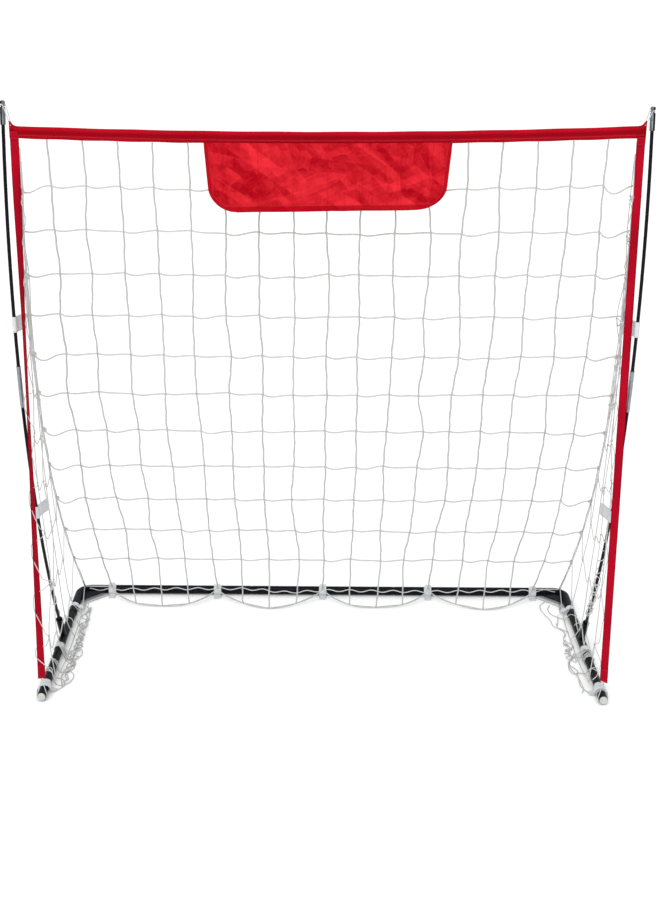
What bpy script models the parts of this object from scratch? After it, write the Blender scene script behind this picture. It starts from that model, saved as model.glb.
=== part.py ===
"""Pop-up soccer goal: a steel base frame, two sprung poles and a net hung between them.

Metres, +Z up. X runs across the goal, Y runs from the mouth to the back, and the origin
is on the ground in the middle of the footprint. Depths below are measured backwards
from the front faces of the end plugs.
"""
import math

import bmesh
import bpy
from mathutils import Matrix, Vector

for old in list(bpy.data.objects):
    bpy.data.objects.remove(old, do_unlink=True)

# Main sizes
GOAL_WIDTH = 1.828
SLEEVE_HEIGHT = 1.830
BASE_DEPTH = 0.860
GAP = 0.0003
FACETS = 20

# Base tubes
MAIN_TUBE_RADIUS = 0.016
TUBE_WALL = 0.0015
SLIP_FIT = 0.0003
SIDE_TUBE_RADIUS = MAIN_TUBE_RADIUS - TUBE_WALL - SLIP_FIT
MIDDLE_LENGTH = 0.540
SPIGOT_LENGTH = 0.100
BUTTON_FROM_MOUTH = 0.035
CORNER_BEND_RADIUS = 0.045
CORNER_LEG = 0.220
SIDE_TUBE_OVERLAP = 0.100
GUSSET_LEG = 0.055
GUSSET_THICKNESS = 0.004
PLUG_HEAD_RADIUS = 0.0132
PLUG_HEAD_THICKNESS = 0.003
PLUG_DEPTH = 0.020

# Snap buttons
BUTTON_RADIUS = 0.0032
BUTTON_PLAY = 0.0003
BUTTON_PROUD = 0.003
BUTTON_FLANGE_RADIUS = 0.0048
BUTTON_FLANGE_THICKNESS = 0.001
SPRING_STRIP = 0.0008
SPRING_WIDTH = 0.007
SPRING_LENGTH = 0.040
SPRING_PAST_BUTTON = 0.006

# Poles
POLE_BASE_DEPTH = 0.450
POLE_RADIUS = 0.0055
POLE_LEAN = math.radians(33.0)
POLE_BOW_RADIUS = 2.300
POLE_BOW_ABOVE_SLEEVE = 0.0038
POLE_SPREAD = math.tan(math.radians(0.8))
POLE_JOINT_AT = 1.130
SOCKET_RADIUS = 0.0115
SOCKET_WALL = 0.0052
SOCKET_LENGTH = 0.115
FERRULE_LENGTH = 0.135
FERRULE_PLAY = 0.0004
FERRULE_WALL = 0.001
TIP_RADIUS = 0.0082
TIP_LENGTH = 0.069
TIP_BORE_DEPTH = 0.042
KNOB_RADIUS = 0.0080
KNOB_LENGTH = 0.0125
NECK_RADIUS = 0.0042
NECK_LENGTH = 0.0045

# Fabric
SLEEVE_LENGTH = 1.830
SLEEVE_WIDTH = 0.035
SLEEVE_THICKNESS = 0.009
SLEEVE_SAG = 0.017
SLEEVE_DEPTH = 0.020
SLEEVE_SOFT_EDGE = 0.0028
STRIP_WIDTH = 0.025
STRIP_THICKNESS = 0.0014
STRIP_FROM_SLEEVE_END = 0.0135
STRIP_INSET_BELOW = 0.0020
STRIP_END_HEIGHT = 0.078
STRIP_END_DEPTH = 0.016
STRIP_TWIST_HEIGHT = 1.130
STRIP_TWIST_LENGTH = 0.420
BANNER_WIDTH = 0.717
BANNER_HEIGHT = 0.203
BANNER_THICKNESS = 0.0012
BANNER_CORNER = (0.080, 0.072)
BANNER_NARROWING = 0.018
BANNER_WRINKLE = 0.004

# Net
NET_CORD = 0.003
NET_COLUMNS = 18
NET_ROWS = 12
SIDE_COLUMNS = 3
NET_SAG = 0.185
NET_SAG_LOWNESS = 1.05
NET_ROW_SPREAD = 0.18
NET_TOP_INSET = 0.0045
NET_FOOT_INSET = 0.0200
SEAM_SPACING = 0.0040
SCALLOP_DEPTH = 0.735
SIDE_NET_SAG = 0.10
SIDE_NET_TUCK = 0.016
HEM_HEIGHT = NET_CORD / 2 + 0.002
LOOP_CORD = 0.003

# Straps
STRAP_THICKNESS = 0.0015
STRAP_FACETS = 16
REAR_STRAP_WIDTH = 0.027
REAR_STRAP_TAIL = 0.017
STRAP_EVERY = 4
SIDE_STRAP_WIDTH = 0.025
SIDE_STRAP_DEPTHS = {"front": 0.085, "middle": 0.360}
CORNER_STRAP_FROM_REAR = 0.170
POLE_STRAP_WIDTH = 0.050
UPPER_STRAP_AT = 1.255
LOWER_STRAP_AT = 0.605
LOWER_STRAP_TAIL = 0.085
STRAP_DROOP = 0.12

# Places that follow from the sizes
HALF_WIDTH = GOAL_WIDTH / 2
AXIS_HEIGHT = MAIN_TUBE_RADIUS + GAP + STRAP_THICKNESS
TOTAL_DEPTH = BASE_DEPTH + MAIN_TUBE_RADIUS + GAP + STRAP_THICKNESS
FRONT = -TOTAL_DEPTH / 2
MOUTH_X = MIDDLE_LENGTH / 2
SLEEVE_BOTTOM = SLEEVE_HEIGHT - SLEEVE_WIDTH / 2
NET_FOOT_HALF = HALF_WIDTH - NET_FOOT_INSET
CORNER_TUBE_END = BASE_DEPTH - CORNER_LEG
CORNER_STRAP_DEPTH = BASE_DEPTH - CORNER_STRAP_FROM_REAR
POLE_STRAIGHT = SOCKET_LENGTH + 0.010
POLE_RISE = SLEEVE_HEIGHT + POLE_BOW_ABOVE_SLEEVE - AXIS_HEIGHT - POLE_STRAIGHT * math.cos(POLE_LEAN)
POLE_TIP_LEAN = math.asin(math.sin(POLE_LEAN) - POLE_RISE / POLE_BOW_RADIUS)
SIDE_STRAP_THICKNESS = (AXIS_HEIGHT - SIDE_TUBE_RADIUS - 2 * GAP) / 2
SIDES = {"left": -1, "right": 1}

PARTS = bpy.data.collections.new("popup_goal")
CUTTERS = bpy.data.collections.new("popup_goal_cutters")
for group in (PARTS, CUTTERS):
    bpy.context.scene.collection.children.link(group)


def at(x, depth, z):
    """A point given by its depth behind the plug faces."""
    return Vector((x, FRONT + depth, z))


def frame_at(origin, along, side_hint):
    """A placement whose local Z runs along the given direction."""
    z_axis = Vector(along).normalized()
    x_axis = (Vector(side_hint) - z_axis * z_axis.dot(Vector(side_hint))).normalized()
    y_axis = z_axis.cross(x_axis)
    turn = Matrix((x_axis, y_axis, z_axis)).transposed().to_4x4()
    return Matrix.Translation(origin) @ turn


def material(name, colour, roughness, metallic=0.0):
    made = bpy.data.materials.new(name)
    made.use_nodes = True
    shader = made.node_tree.nodes["Principled BSDF"]
    shader.inputs["Base Color"].default_value = (*colour, 1.0)
    shader.inputs["Roughness"].default_value = roughness
    shader.inputs["Metallic"].default_value = metallic
    return made


def add_object(name, data, look, place=None, group=PARTS):
    made = bpy.data.objects.new(name, data)
    group.objects.link(made)
    if look is not None:
        data.materials.append(material(name, *look))
    if place is not None:
        made.matrix_world = place
    return made


BLACK_STEEL = ((0.012, 0.013, 0.017), 0.35, 0.6)
SPRING_STEEL = ((0.45, 0.46, 0.48), 0.30, 1.0)
FIBREGLASS = ((0.010, 0.010, 0.012), 0.40)
FERRULE_METAL = ((0.42, 0.47, 0.55), 0.35, 0.9)
TIP_METAL = ((0.10, 0.11, 0.12), 0.30, 0.9)
PALE_PLASTIC = ((0.55, 0.58, 0.54), 0.50)
RED_FABRIC = ((0.50, 0.004, 0.015), 0.75)
BANNER_FABRIC = ((0.68, 0.010, 0.020), 0.60)
NET_WHITE = ((0.72, 0.73, 0.72), 0.70)
STRAP_GREY = ((0.60, 0.61, 0.65), 0.85)


def chain_mesh(name, points, closed):
    """A line of edges through the points, ready for a modifier to sweep."""
    mesh = bpy.data.meshes.new(name)
    shape = bmesh.new()
    corners = [shape.verts.new(point) for point in points]
    for first, second in zip(corners, corners[1:]):
        shape.edges.new((first, second))
    if closed:
        shape.edges.new((corners[-1], corners[0]))
    shape.to_mesh(mesh)
    shape.free()
    return mesh


def turned(name, profile, look, place, facets=FACETS, closed=False, group=PARTS):
    """A turned solid; the (radius, height) profile runs down its outer side."""
    mesh = chain_mesh(name, [(radius, 0.0, height) for radius, height in profile], closed)
    made = add_object(name, mesh, look, place, group)
    screw = made.modifiers.new("turn", "SCREW")
    screw.axis = "Z"
    screw.steps = facets
    screw.render_steps = facets
    screw.use_merge_vertices = True
    screw.merge_threshold = 0.00001
    screw.use_smooth_shade = True
    return made


def pipe_profile(outer, inner, length):
    return [(outer, length), (outer, 0.0), (inner, 0.0), (inner, length)]


def curve_data(name, points, radius, resolution, cyclic=False, caps=True):
    data = bpy.data.curves.new(name, "CURVE")
    data.dimensions = "3D"
    data.bevel_depth = radius
    data.bevel_resolution = resolution
    data.use_fill_caps = caps
    spline = data.splines.new("POLY")
    spline.points.add(len(points) - 1)
    for slot, point in zip(spline.points, points):
        slot.co = (*point, 1.0)
    spline.use_cyclic_u = cyclic
    return data


def cord(name, points, radius, look, cyclic=False, resolution=2):
    return add_object(name, curve_data(name, points, radius, resolution, cyclic), look)


def swept_pipe(name, points, outer, wall, look, resolution=8):
    """A hollow tube along a path, as a mesh that cutters can work on."""
    guide = add_object(name + "_path", curve_data(name, points, outer, resolution, caps=False), None)
    seen = guide.evaluated_get(bpy.context.evaluated_depsgraph_get())
    mesh = bpy.data.meshes.new_from_object(seen)
    bpy.data.objects.remove(guide, do_unlink=True)
    made = add_object(name, mesh, look)
    made.data.shade_smooth()
    shell = made.modifiers.new("wall", "SOLIDIFY")
    shell.thickness = wall
    shell.offset = -1.0
    shell.use_even_offset = True
    return made


def cylinder_cutter(name, start, end, radius):
    """An unseen rod from start to end, used only for cutting."""
    mesh = bpy.data.meshes.new(name)
    shape = bmesh.new()
    length = (end - start).length
    bmesh.ops.create_cone(
        shape, cap_ends=True, segments=FACETS, radius1=radius, radius2=radius, depth=length
    )
    shape.to_mesh(mesh)
    shape.free()
    side_hint = (0, 1, 0) if abs((end - start).normalized().y) < 0.9 else (1, 0, 0)
    rod = add_object(name, mesh, None, frame_at((start + end) / 2, end - start, side_hint), CUTTERS)
    rod.display_type = "WIRE"
    rod.hide_render = True
    return rod


def cut(target, cutter):
    hole = target.modifiers.new("cut", "BOOLEAN")
    hole.operation = "DIFFERENCE"
    hole.solver = "EXACT"
    hole.object = cutter


def sheet(name, columns, rows, surface, thickness, look, origin=None):
    """Cloth: a grid laid on surface(u, v), with its thickness added evenly."""
    mesh = grid_mesh(name, columns, rows, surface, origin)
    place = Matrix.Translation(origin) if origin is not None else None
    made = add_object(name, mesh, look, place)
    cloth = made.modifiers.new("cloth", "SOLIDIFY")
    cloth.thickness = thickness
    cloth.offset = 0.0
    cloth.use_even_offset = True
    return made


def grid_mesh(name, columns, rows, surface, origin=None):
    mesh = bpy.data.meshes.new(name)
    shape = bmesh.new()
    bmesh.ops.create_grid(shape, x_segments=columns, y_segments=rows, size=0.5)
    for corner in shape.verts:
        place = surface(corner.co.x + 0.5, 0.5 - corner.co.y)
        corner.co = place - origin if origin is not None else place
    shape.to_mesh(mesh)
    shape.free()
    mesh.shade_smooth()
    return mesh


def net(name, columns, rows, surface, look):
    """Square mesh netting: one cord along every edge of the grid."""
    made = add_object(name, grid_mesh(name, columns, rows, surface), look)
    cords = made.modifiers.new("cords", "WIREFRAME")
    cords.thickness = NET_CORD
    cords.offset = 0.0
    cords.use_boundary = True
    cords.use_replace = True
    cords.use_even_offset = False
    return made


def strap(name, path, width, thickness, place, look, rise=0.0):
    """Webbing that follows a flat path, square to its plane or slanting up by the rise."""
    points = [(x, y, x * rise - width / 2) for x, y in path]
    mesh = chain_mesh(name, points, closed=False)
    shape = bmesh.new()
    shape.from_mesh(mesh)
    swept = bmesh.ops.extrude_edge_only(shape, edges=shape.edges[:])
    raised = [part for part in swept["geom"] if isinstance(part, bmesh.types.BMVert)]
    bmesh.ops.translate(shape, verts=raised, vec=(0, 0, width))
    shape.to_mesh(mesh)
    shape.free()
    made = add_object(name, mesh, look, place)
    web = made.modifiers.new("webbing", "SOLIDIFY")
    web.thickness = thickness
    web.offset = 0.0
    web.use_even_offset = True
    return made


# Base frame
def button_hole(name, foot, target_names):
    """One upright hole through the walls that a snap button passes."""
    rod = cylinder_cutter(
        name + "_hole", foot, foot + Vector((0, 0, 0.03)), BUTTON_RADIUS + BUTTON_PLAY
    )
    for target in target_names:
        cut(bpy.data.objects[target], rod)


def make_rear_middle():
    """The middle rear tube, with its ends swaged down to fit inside the corner tubes."""
    reach = MOUTH_X + SPIGOT_LENGTH
    shoulder = MOUTH_X - 0.004
    bore = SIDE_TUBE_RADIUS - TUBE_WALL
    big_bore = MAIN_TUBE_RADIUS - TUBE_WALL
    inner_step = shoulder - 0.004
    profile = [
        (bore, reach), (SIDE_TUBE_RADIUS, reach), (SIDE_TUBE_RADIUS, MOUTH_X),
        (MAIN_TUBE_RADIUS, shoulder), (MAIN_TUBE_RADIUS, -shoulder),
        (SIDE_TUBE_RADIUS, -MOUTH_X), (SIDE_TUBE_RADIUS, -reach), (bore, -reach),
        (bore, -shoulder - 0.001), (big_bore, -inner_step), (big_bore, inner_step),
        (bore, shoulder + 0.001),
    ]
    place = frame_at(at(0, BASE_DEPTH, AXIS_HEIGHT), (1, 0, 0), (0, 0, 1))
    turned("rear_tube_middle", profile, BLACK_STEEL, place, closed=True)


def make_corner_tube(label, side):
    bend = CORNER_BEND_RADIUS
    points = [at(side * (MOUTH_X + GAP), BASE_DEPTH, AXIS_HEIGHT)]
    steps = 8
    for step in range(steps + 1):
        angle = math.pi / 2 * step / steps
        points.append(at(
            side * (HALF_WIDTH - bend + bend * math.sin(angle)),
            BASE_DEPTH - bend + bend * math.cos(angle),
            AXIS_HEIGHT,
        ))
    points.append(at(side * HALF_WIDTH, CORNER_TUBE_END, AXIS_HEIGHT))
    swept_pipe("corner_tube_" + label, points, MAIN_TUBE_RADIUS, TUBE_WALL, BLACK_STEEL)


def make_gusset(label, side):
    """The web plate in the corner, its inner edge following the bend."""
    bend = CORNER_BEND_RADIUS
    inner = bend - MAIN_TUBE_RADIUS - GAP
    centre_x = HALF_WIDTH - bend
    centre_depth = BASE_DEPTH - bend
    outline = [(centre_x + inner, centre_depth - GUSSET_LEG)]
    steps = 6
    for step in range(steps + 1):
        angle = math.pi / 2 * step / steps
        outline.append((centre_x + inner * math.cos(angle), centre_depth + inner * math.sin(angle)))
    outline.append((centre_x - GUSSET_LEG, centre_depth + inner))
    name = "corner_gusset_" + label
    data = bpy.data.curves.new(name, "CURVE")
    data.dimensions = "2D"
    data.fill_mode = "BOTH"
    data.extrude = GUSSET_THICKNESS / 2
    spline = data.splines.new("POLY")
    spline.points.add(len(outline) - 1)
    for slot, (x, depth) in zip(spline.points, outline):
        slot.co = (side * x, FRONT + depth, 0.0, 1.0)
    spline.use_cyclic_u = True
    add_object(name, data, BLACK_STEEL, Matrix.Translation((0, 0, AXIS_HEIGHT)))


def make_side_tube(label, side):
    front = PLUG_HEAD_THICKNESS + GAP
    length = CORNER_TUBE_END + SIDE_TUBE_OVERLAP - front
    place = frame_at(at(side * HALF_WIDTH, front, AXIS_HEIGHT), (0, 1, 0), (0, 0, 1))
    profile = pipe_profile(SIDE_TUBE_RADIUS, SIDE_TUBE_RADIUS - TUBE_WALL, length)
    turned("side_tube_" + label, profile, BLACK_STEEL, place, closed=True)


def make_end_plug(label, side):
    """The pale plug in the front end of a side tube, with a flat face."""
    head = PLUG_HEAD_THICKNESS
    stem = SIDE_TUBE_RADIUS - TUBE_WALL - GAP
    profile = [
        (0.0, head + GAP + PLUG_DEPTH), (stem - 0.001, head + GAP + PLUG_DEPTH),
        (stem, head + GAP + PLUG_DEPTH - 0.002), (stem, head), (PLUG_HEAD_RADIUS, head),
        (PLUG_HEAD_RADIUS, 0.001), (PLUG_HEAD_RADIUS - 0.001, 0.0), (0.0, 0.0),
    ]
    place = frame_at(at(side * HALF_WIDTH, 0.0, AXIS_HEIGHT), (0, 1, 0), (0, 0, 1))
    turned("end_plug_" + label, profile, PALE_PLASTIC, place)


def button_flange_top():
    """Height of the flange over the tube axis, just under the curved bore."""
    bore = SIDE_TUBE_RADIUS - TUBE_WALL
    return math.sqrt(bore ** 2 - BUTTON_FLANGE_RADIUS ** 2) - 2 * GAP


def make_snap_button(name, centre):
    """A domed pin whose flange stays inside the bore."""
    flange = button_flange_top()
    top = MAIN_TUBE_RADIUS + BUTTON_PROUD
    bottom = flange - BUTTON_FLANGE_THICKNESS
    dome = BUTTON_RADIUS * 0.6
    profile = [
        (0.0, top), (BUTTON_RADIUS * 0.55, top - dome * 0.2), (BUTTON_RADIUS * 0.88, top - dome * 0.6),
        (BUTTON_RADIUS, top - dome), (BUTTON_RADIUS, flange), (BUTTON_FLANGE_RADIUS, flange),
        (BUTTON_FLANGE_RADIUS, bottom), (0.0, bottom),
    ]
    turned(name, profile, SPRING_STEEL, Matrix.Translation(centre), facets=12)


def make_button_spring(name, centre, along):
    """The V of spring strip inside the tube that holds its button up."""
    half = SPRING_STRIP / 2
    bore = SIDE_TUBE_RADIUS - TUBE_WALL
    top = button_flange_top() - BUTTON_FLANGE_THICKNESS - GAP - half
    bottom = -(math.sqrt(bore ** 2 - (SPRING_WIDTH / 2) ** 2) - 2 * GAP - half)
    bend = 0.003
    path = [(SPRING_PAST_BUTTON, top), (-0.004, top), (-SPRING_LENGTH + bend, bend)]
    path += [(-SPRING_LENGTH, bend * 0.4), (-SPRING_LENGTH, -bend * 0.4)]
    path += [(-SPRING_LENGTH + bend, -bend), (-0.004, bottom), (SPRING_PAST_BUTTON, bottom)]
    forward = Vector(along)
    place = frame_at(centre, forward.cross(Vector((0, 0, 1))), forward)
    strap(name, path, SPRING_WIDTH, SPRING_STRIP, place, SPRING_STEEL)


# Poles
def pole_end():
    bow = POLE_BOW_RADIUS * (POLE_LEAN - POLE_TIP_LEAN)
    return POLE_STRAIGHT + bow + TIP_BORE_DEPTH + 0.003


def pole_place(side, reach):
    """The pole's point and direction at a length along it: straight, bowed, straight."""
    straight = POLE_STRAIGHT
    bow = POLE_BOW_RADIUS * (POLE_LEAN - POLE_TIP_LEAN)
    on_arc = min(max(reach - straight, 0.0), bow)
    lean = POLE_LEAN - on_arc / POLE_BOW_RADIUS
    before = min(reach, straight)
    after = max(reach - straight - bow, 0.0)
    forward = before * math.sin(POLE_LEAN) + after * math.sin(lean)
    forward += POLE_BOW_RADIUS * (math.cos(lean) - math.cos(POLE_LEAN))
    up = before * math.cos(POLE_LEAN) + after * math.cos(lean)
    up += POLE_BOW_RADIUS * (math.sin(POLE_LEAN) - math.sin(lean))
    point = at(
        side * (HALF_WIDTH + POLE_SPREAD * up), POLE_BASE_DEPTH - forward, AXIS_HEIGHT + up
    )
    way = Vector((side * POLE_SPREAD * math.cos(lean), -math.sin(lean), math.cos(lean)))
    return point, way.normalized()


def pole_points(side, start, end, spacing):
    count = max(2, round((end - start) / spacing))
    return [pole_place(side, start + (end - start) * step / count)[0] for step in range(count + 1)]


def pole_reach_at(height):
    """The length along the pole at which it passes a height."""
    low, high = 0.0, pole_end()
    for _ in range(40):
        middle = (low + high) / 2
        if pole_place(1, middle)[0].z < height:
            low = middle
        else:
            high = middle
    return low


def make_pole(label, side):
    foot = 0.035
    middle = POLE_JOINT_AT
    cord("pole_lower_" + label, pole_points(side, foot, middle - GAP, 0.068), POLE_RADIUS, FIBREGLASS)
    cord("pole_upper_" + label, pole_points(side, middle + GAP, pole_end(), 0.068), POLE_RADIUS, FIBREGLASS)
    bore = POLE_RADIUS + FERRULE_PLAY
    half = FERRULE_LENGTH / 2
    swept_pipe(
        "pole_ferrule_" + label, pole_points(side, middle - half, middle + half, 0.034),
        bore + FERRULE_WALL, FERRULE_WALL, FERRULE_METAL, resolution=6,
    )


def make_pole_tip(label, side):
    """The metal end with its bore, neck and knob."""
    point, way = pole_place(side, pole_end() - TIP_BORE_DEPTH + GAP)
    knob_foot = TIP_LENGTH - KNOB_LENGTH
    neck_foot = knob_foot - NECK_LENGTH
    profile = [
        (0.0, TIP_LENGTH), (KNOB_RADIUS * 0.6, TIP_LENGTH), (KNOB_RADIUS, TIP_LENGTH - 0.003),
        (KNOB_RADIUS, TIP_LENGTH - 0.008), (NECK_RADIUS, knob_foot), (NECK_RADIUS, neck_foot),
        (TIP_RADIUS, neck_foot - 0.002), (TIP_RADIUS, 0.001), (TIP_RADIUS - 0.0008, 0.0),
        (POLE_RADIUS + FERRULE_PLAY, 0.0), (POLE_RADIUS + FERRULE_PLAY, TIP_BORE_DEPTH),
        (0.0, TIP_BORE_DEPTH),
    ]
    turned("pole_tip_" + label, profile, TIP_METAL, frame_at(point, way, (1, 0, 0)), facets=16)


def make_pole_socket(label, side):
    """The leaning stub on a side tube, coped to sit on it."""
    foot, way = pole_place(side, 0.0)
    name = "pole_socket_" + label
    profile = pipe_profile(SOCKET_RADIUS, SOCKET_RADIUS - SOCKET_WALL, SOCKET_LENGTH)
    turned(name, profile, BLACK_STEEL, frame_at(foot, way, (1, 0, 0)), closed=True)
    reach = Vector((0, 0.08, 0))
    cope = cylinder_cutter(name + "_cope", foot - reach, foot + reach, SIDE_TUBE_RADIUS + GAP)
    cut(bpy.data.objects[name], cope)


def make_tip_cord(label, side):
    """The white loop from the neck of the tip down to the sleeve's corner."""
    base, way = pole_place(side, pole_end() - TIP_BORE_DEPTH + GAP)
    neck = base + way * (TIP_LENGTH - KNOB_LENGTH - NECK_LENGTH / 2)
    half = LOOP_CORD / 2
    corner = at(side * (SLEEVE_LENGTH / 2 - 0.006), SLEEVE_DEPTH, 0)
    corner.z = SLEEVE_HEIGHT + SLEEVE_WIDTH / 2 + GAP + half
    toward = corner - neck
    forward = (toward - way * way.dot(toward)).normalized()
    across = way.cross(forward)
    ring = NECK_RADIUS + GAP + half
    points = []
    for step in range(7):
        angle = math.pi / 2 + math.pi * step / 6
        points.append(neck + (forward * math.cos(angle) + across * math.sin(angle)) * ring)
    clear = TIP_RADIUS + half + 0.001
    points.append(neck + forward * clear - across * ring)
    pinch = 0.0021
    points.append(corner - across * pinch - toward.normalized() * 0.006)
    points.append(corner - across * pinch)
    points.append(corner + across * pinch)
    points.append(corner + across * pinch - toward.normalized() * 0.006)
    points.append(neck + forward * clear + across * ring)
    cord("tip_cord_" + label, points, half, NET_WHITE, cyclic=True)


# Fabric
def sleeve_drop(x):
    return SLEEVE_SAG * (1.0 - min(1.0, (2 * x / SLEEVE_LENGTH) ** 2))


def make_sleeve():
    def surface(u, v):
        x = (u - 0.5) * SLEEVE_LENGTH
        return at(x, SLEEVE_DEPTH, SLEEVE_HEIGHT + (0.5 - v) * SLEEVE_WIDTH - sleeve_drop(x))

    made = sheet("header_sleeve", 16, 1, surface, SLEEVE_THICKNESS, RED_FABRIC)
    soft = made.modifiers.new("soft edge", "BEVEL")
    soft.width = SLEEVE_SOFT_EDGE
    soft.segments = 1
    soft.limit_method = "ANGLE"
    soft.angle_limit = math.radians(60)


def strip_centre(side, v):
    """The middle line of a front strip, v = 0 at the sleeve and 1 at the tube."""
    top_x = SLEEVE_LENGTH / 2 - STRIP_FROM_SLEEVE_END
    top = SLEEVE_BOTTOM - sleeve_drop(top_x - STRIP_WIDTH / 2) - GAP
    x = top_x + (HALF_WIDTH - STRIP_INSET_BELOW - top_x) * v
    depth = SLEEVE_DEPTH + (STRIP_END_DEPTH - SLEEVE_DEPTH) * v
    return at(side * x, depth, top + (STRIP_END_HEIGHT - top) * v)


def strip_turn(side, height):
    """The left strip has half a twist in it; the right one hangs flat."""
    if side > 0:
        return 0.0
    along = (STRIP_TWIST_HEIGHT + STRIP_TWIST_LENGTH / 2 - height) / STRIP_TWIST_LENGTH
    along = min(max(along, 0.0), 1.0)
    return math.pi * (3 * along ** 2 - 2 * along ** 3)


def make_strip(label, side):
    def surface(u, v):
        centre = strip_centre(side, v)
        turn = strip_turn(side, centre.z)
        off = (u - 0.5) * STRIP_WIDTH
        return centre + Vector((off * math.cos(turn), off * math.sin(turn), 0.0))

    rows = 10 if side > 0 else 34
    sheet("front_strip_" + label, 1, rows, surface, STRIP_THICKNESS, RED_FABRIC)


def banner_hinge():
    """The line that the banner is sewn along, just above the sleeve's rounded lower edge."""
    depth = SLEEVE_DEPTH - SLEEVE_THICKNESS / 2 - GAP - BANNER_THICKNESS / 2
    return at(0.0, depth, SLEEVE_BOTTOM - SLEEVE_SAG + SLEEVE_SOFT_EDGE)


def make_banner():
    """The flap under the sleeve: round lower corners and shallow creases."""
    hinge = banner_hinge()

    def surface(u, v):
        corner_width, corner_height = BANNER_CORNER
        below = max(0.0, v * BANNER_HEIGHT - (BANNER_HEIGHT - corner_height)) / corner_height
        half = BANNER_WIDTH / 2 - BANNER_NARROWING * v
        half -= corner_width * (1.0 - math.sqrt(max(0.0, 1.0 - below ** 2)))
        x = (2 * u - 1) * half
        crease = math.sin(9 * u + 4 * v) * math.sin(3.1 + 7 * u - 5 * v)
        depth = BANNER_WRINKLE * crease * math.sin(math.pi * min(1.0, v * 0.9))
        return hinge + Vector((x, depth, -v * BANNER_HEIGHT))

    sheet("header_banner", 20, 9, surface, BANNER_THICKNESS, BANNER_FABRIC, hinge)


# Net
def row_place(share):
    """How far down the slope a row of knots hangs; the rows open out towards the bar."""
    return (1 - NET_ROW_SPREAD) * share + NET_ROW_SPREAD * share ** 4


def net_half_width(v):
    """The net is as wide as the sleeve and draws in just above the bar."""
    top = SLEEVE_LENGTH / 2 - NET_TOP_INSET
    return top + (NET_FOOT_HALF - top) * v ** 6


def sheet_point(v):
    """Depth and height of the rear net, which sags forward and down from a straight slope."""
    top = Vector((SLEEVE_DEPTH + 0.003, SLEEVE_BOTTOM - GAP - NET_CORD / 2))
    foot = Vector((
        BASE_DEPTH - MAIN_TUBE_RADIUS - 2 * GAP - STRAP_THICKNESS - NET_CORD / 2 - GAP,
        AXIS_HEIGHT + MAIN_TUBE_RADIUS + 2 * GAP + NET_CORD,
    ))
    slope = foot - top
    down_forward = Vector((slope.y, -slope.x)).normalized()
    return top + slope * v + down_forward * NET_SAG * math.sin(math.pi * v ** NET_SAG_LOWNESS)


def seam_point(side, v):
    """The edge of the rear net, where the side panel is laced on."""
    depth, height = sheet_point(v)
    return at(side * net_half_width(v), depth, height)


def seam_at_height(side, height):
    low, high = 0.0, 1.0
    for _ in range(40):
        middle = (low + high) / 2
        if sheet_point(middle)[1] > height:
            low = middle
        else:
            high = middle
    return seam_point(side, low)


def scallop(column):
    """How far the hem hangs away from the rear tube, 0 at a strap and 1 between two."""
    from_middle = abs(column - NET_COLUMNS / 2)
    along = (from_middle % STRAP_EVERY) / STRAP_EVERY
    if from_middle > STRAP_EVERY * 2:
        return 0.0
    return math.sin(math.pi * along) ** 0.6 if along > 0 else 0.0


def make_rear_net():
    def surface(u, row):
        v = row_place(row)
        depth, height = sheet_point(v)
        x = (2 * u - 1) * net_half_width(v)
        height -= sleeve_drop(x) * (1 - v) ** 3
        if row > 0.999:
            hang = scallop(u * NET_COLUMNS)
            depth += (SCALLOP_DEPTH - depth) * hang
            height += (HEM_HEIGHT - height) * hang
        return at(x, depth, height)

    net("net_rear", NET_COLUMNS, NET_ROWS, surface, NET_WHITE)


def side_net_point(side, w, v):
    """The side panel, w = 0 at the front strip and 1 at the seam; its foot lies inside the tube."""
    front = strip_centre(side, v)
    front.x -= side * (STRIP_WIDTH / 2 + GAP + NET_CORD / 2)
    front.z -= GAP + NET_CORD / 2
    seam = seam_point(side, v)
    seam.x += side * SEAM_SPACING
    point = front.lerp(seam, w)
    point.x = front.x + (seam.x - front.x) * min(max(3 * w - 1, 0), 1)
    belly = math.sin(math.pi * w)
    point.x -= side * SIDE_NET_TUCK * belly ** 0.3 * v ** 6
    point.z -= SIDE_NET_SAG * (seam.y - front.y) * belly * (1 - v)
    point.z -= (point.z - HEM_HEIGHT) * belly ** 0.3 * v ** 6
    return point


def make_side_net(label, side):
    def surface(u, v):
        w = u if side < 0 else 1 - u
        return side_net_point(side, w, 0.02 + 0.98 * row_place(v))

    net("net_side_" + label, SIDE_COLUMNS, NET_ROWS, surface, NET_WHITE)


# Straps and loops
def ring_point(radius, quarter_turns):
    """A corner of a strap ring that has one flat facet square to the ground."""
    angle = quarter_turns
    corner = radius / math.cos(math.pi / STRAP_FACETS)
    return (corner * math.cos(angle), corner * math.sin(angle))


def make_rear_strap(number, x):
    """Once round the tube, closing on itself with the tail standing up in front."""
    radius = MAIN_TUBE_RADIUS + GAP + STRAP_THICKNESS / 2
    step = 2 * math.pi / STRAP_FACETS
    start = math.pi + step / 2
    path = [(-radius, MAIN_TUBE_RADIUS + REAR_STRAP_TAIL)]
    path += [ring_point(radius, start + step * turn) for turn in range(STRAP_FACETS - 1)]
    place = frame_at(at(x, BASE_DEPTH, AXIS_HEIGHT), (1, 0, 0), (0, 1, 0))
    strap("rear_strap_%d" % number, path, REAR_STRAP_WIDTH, STRAP_THICKNESS, place, STRAP_GREY)


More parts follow.
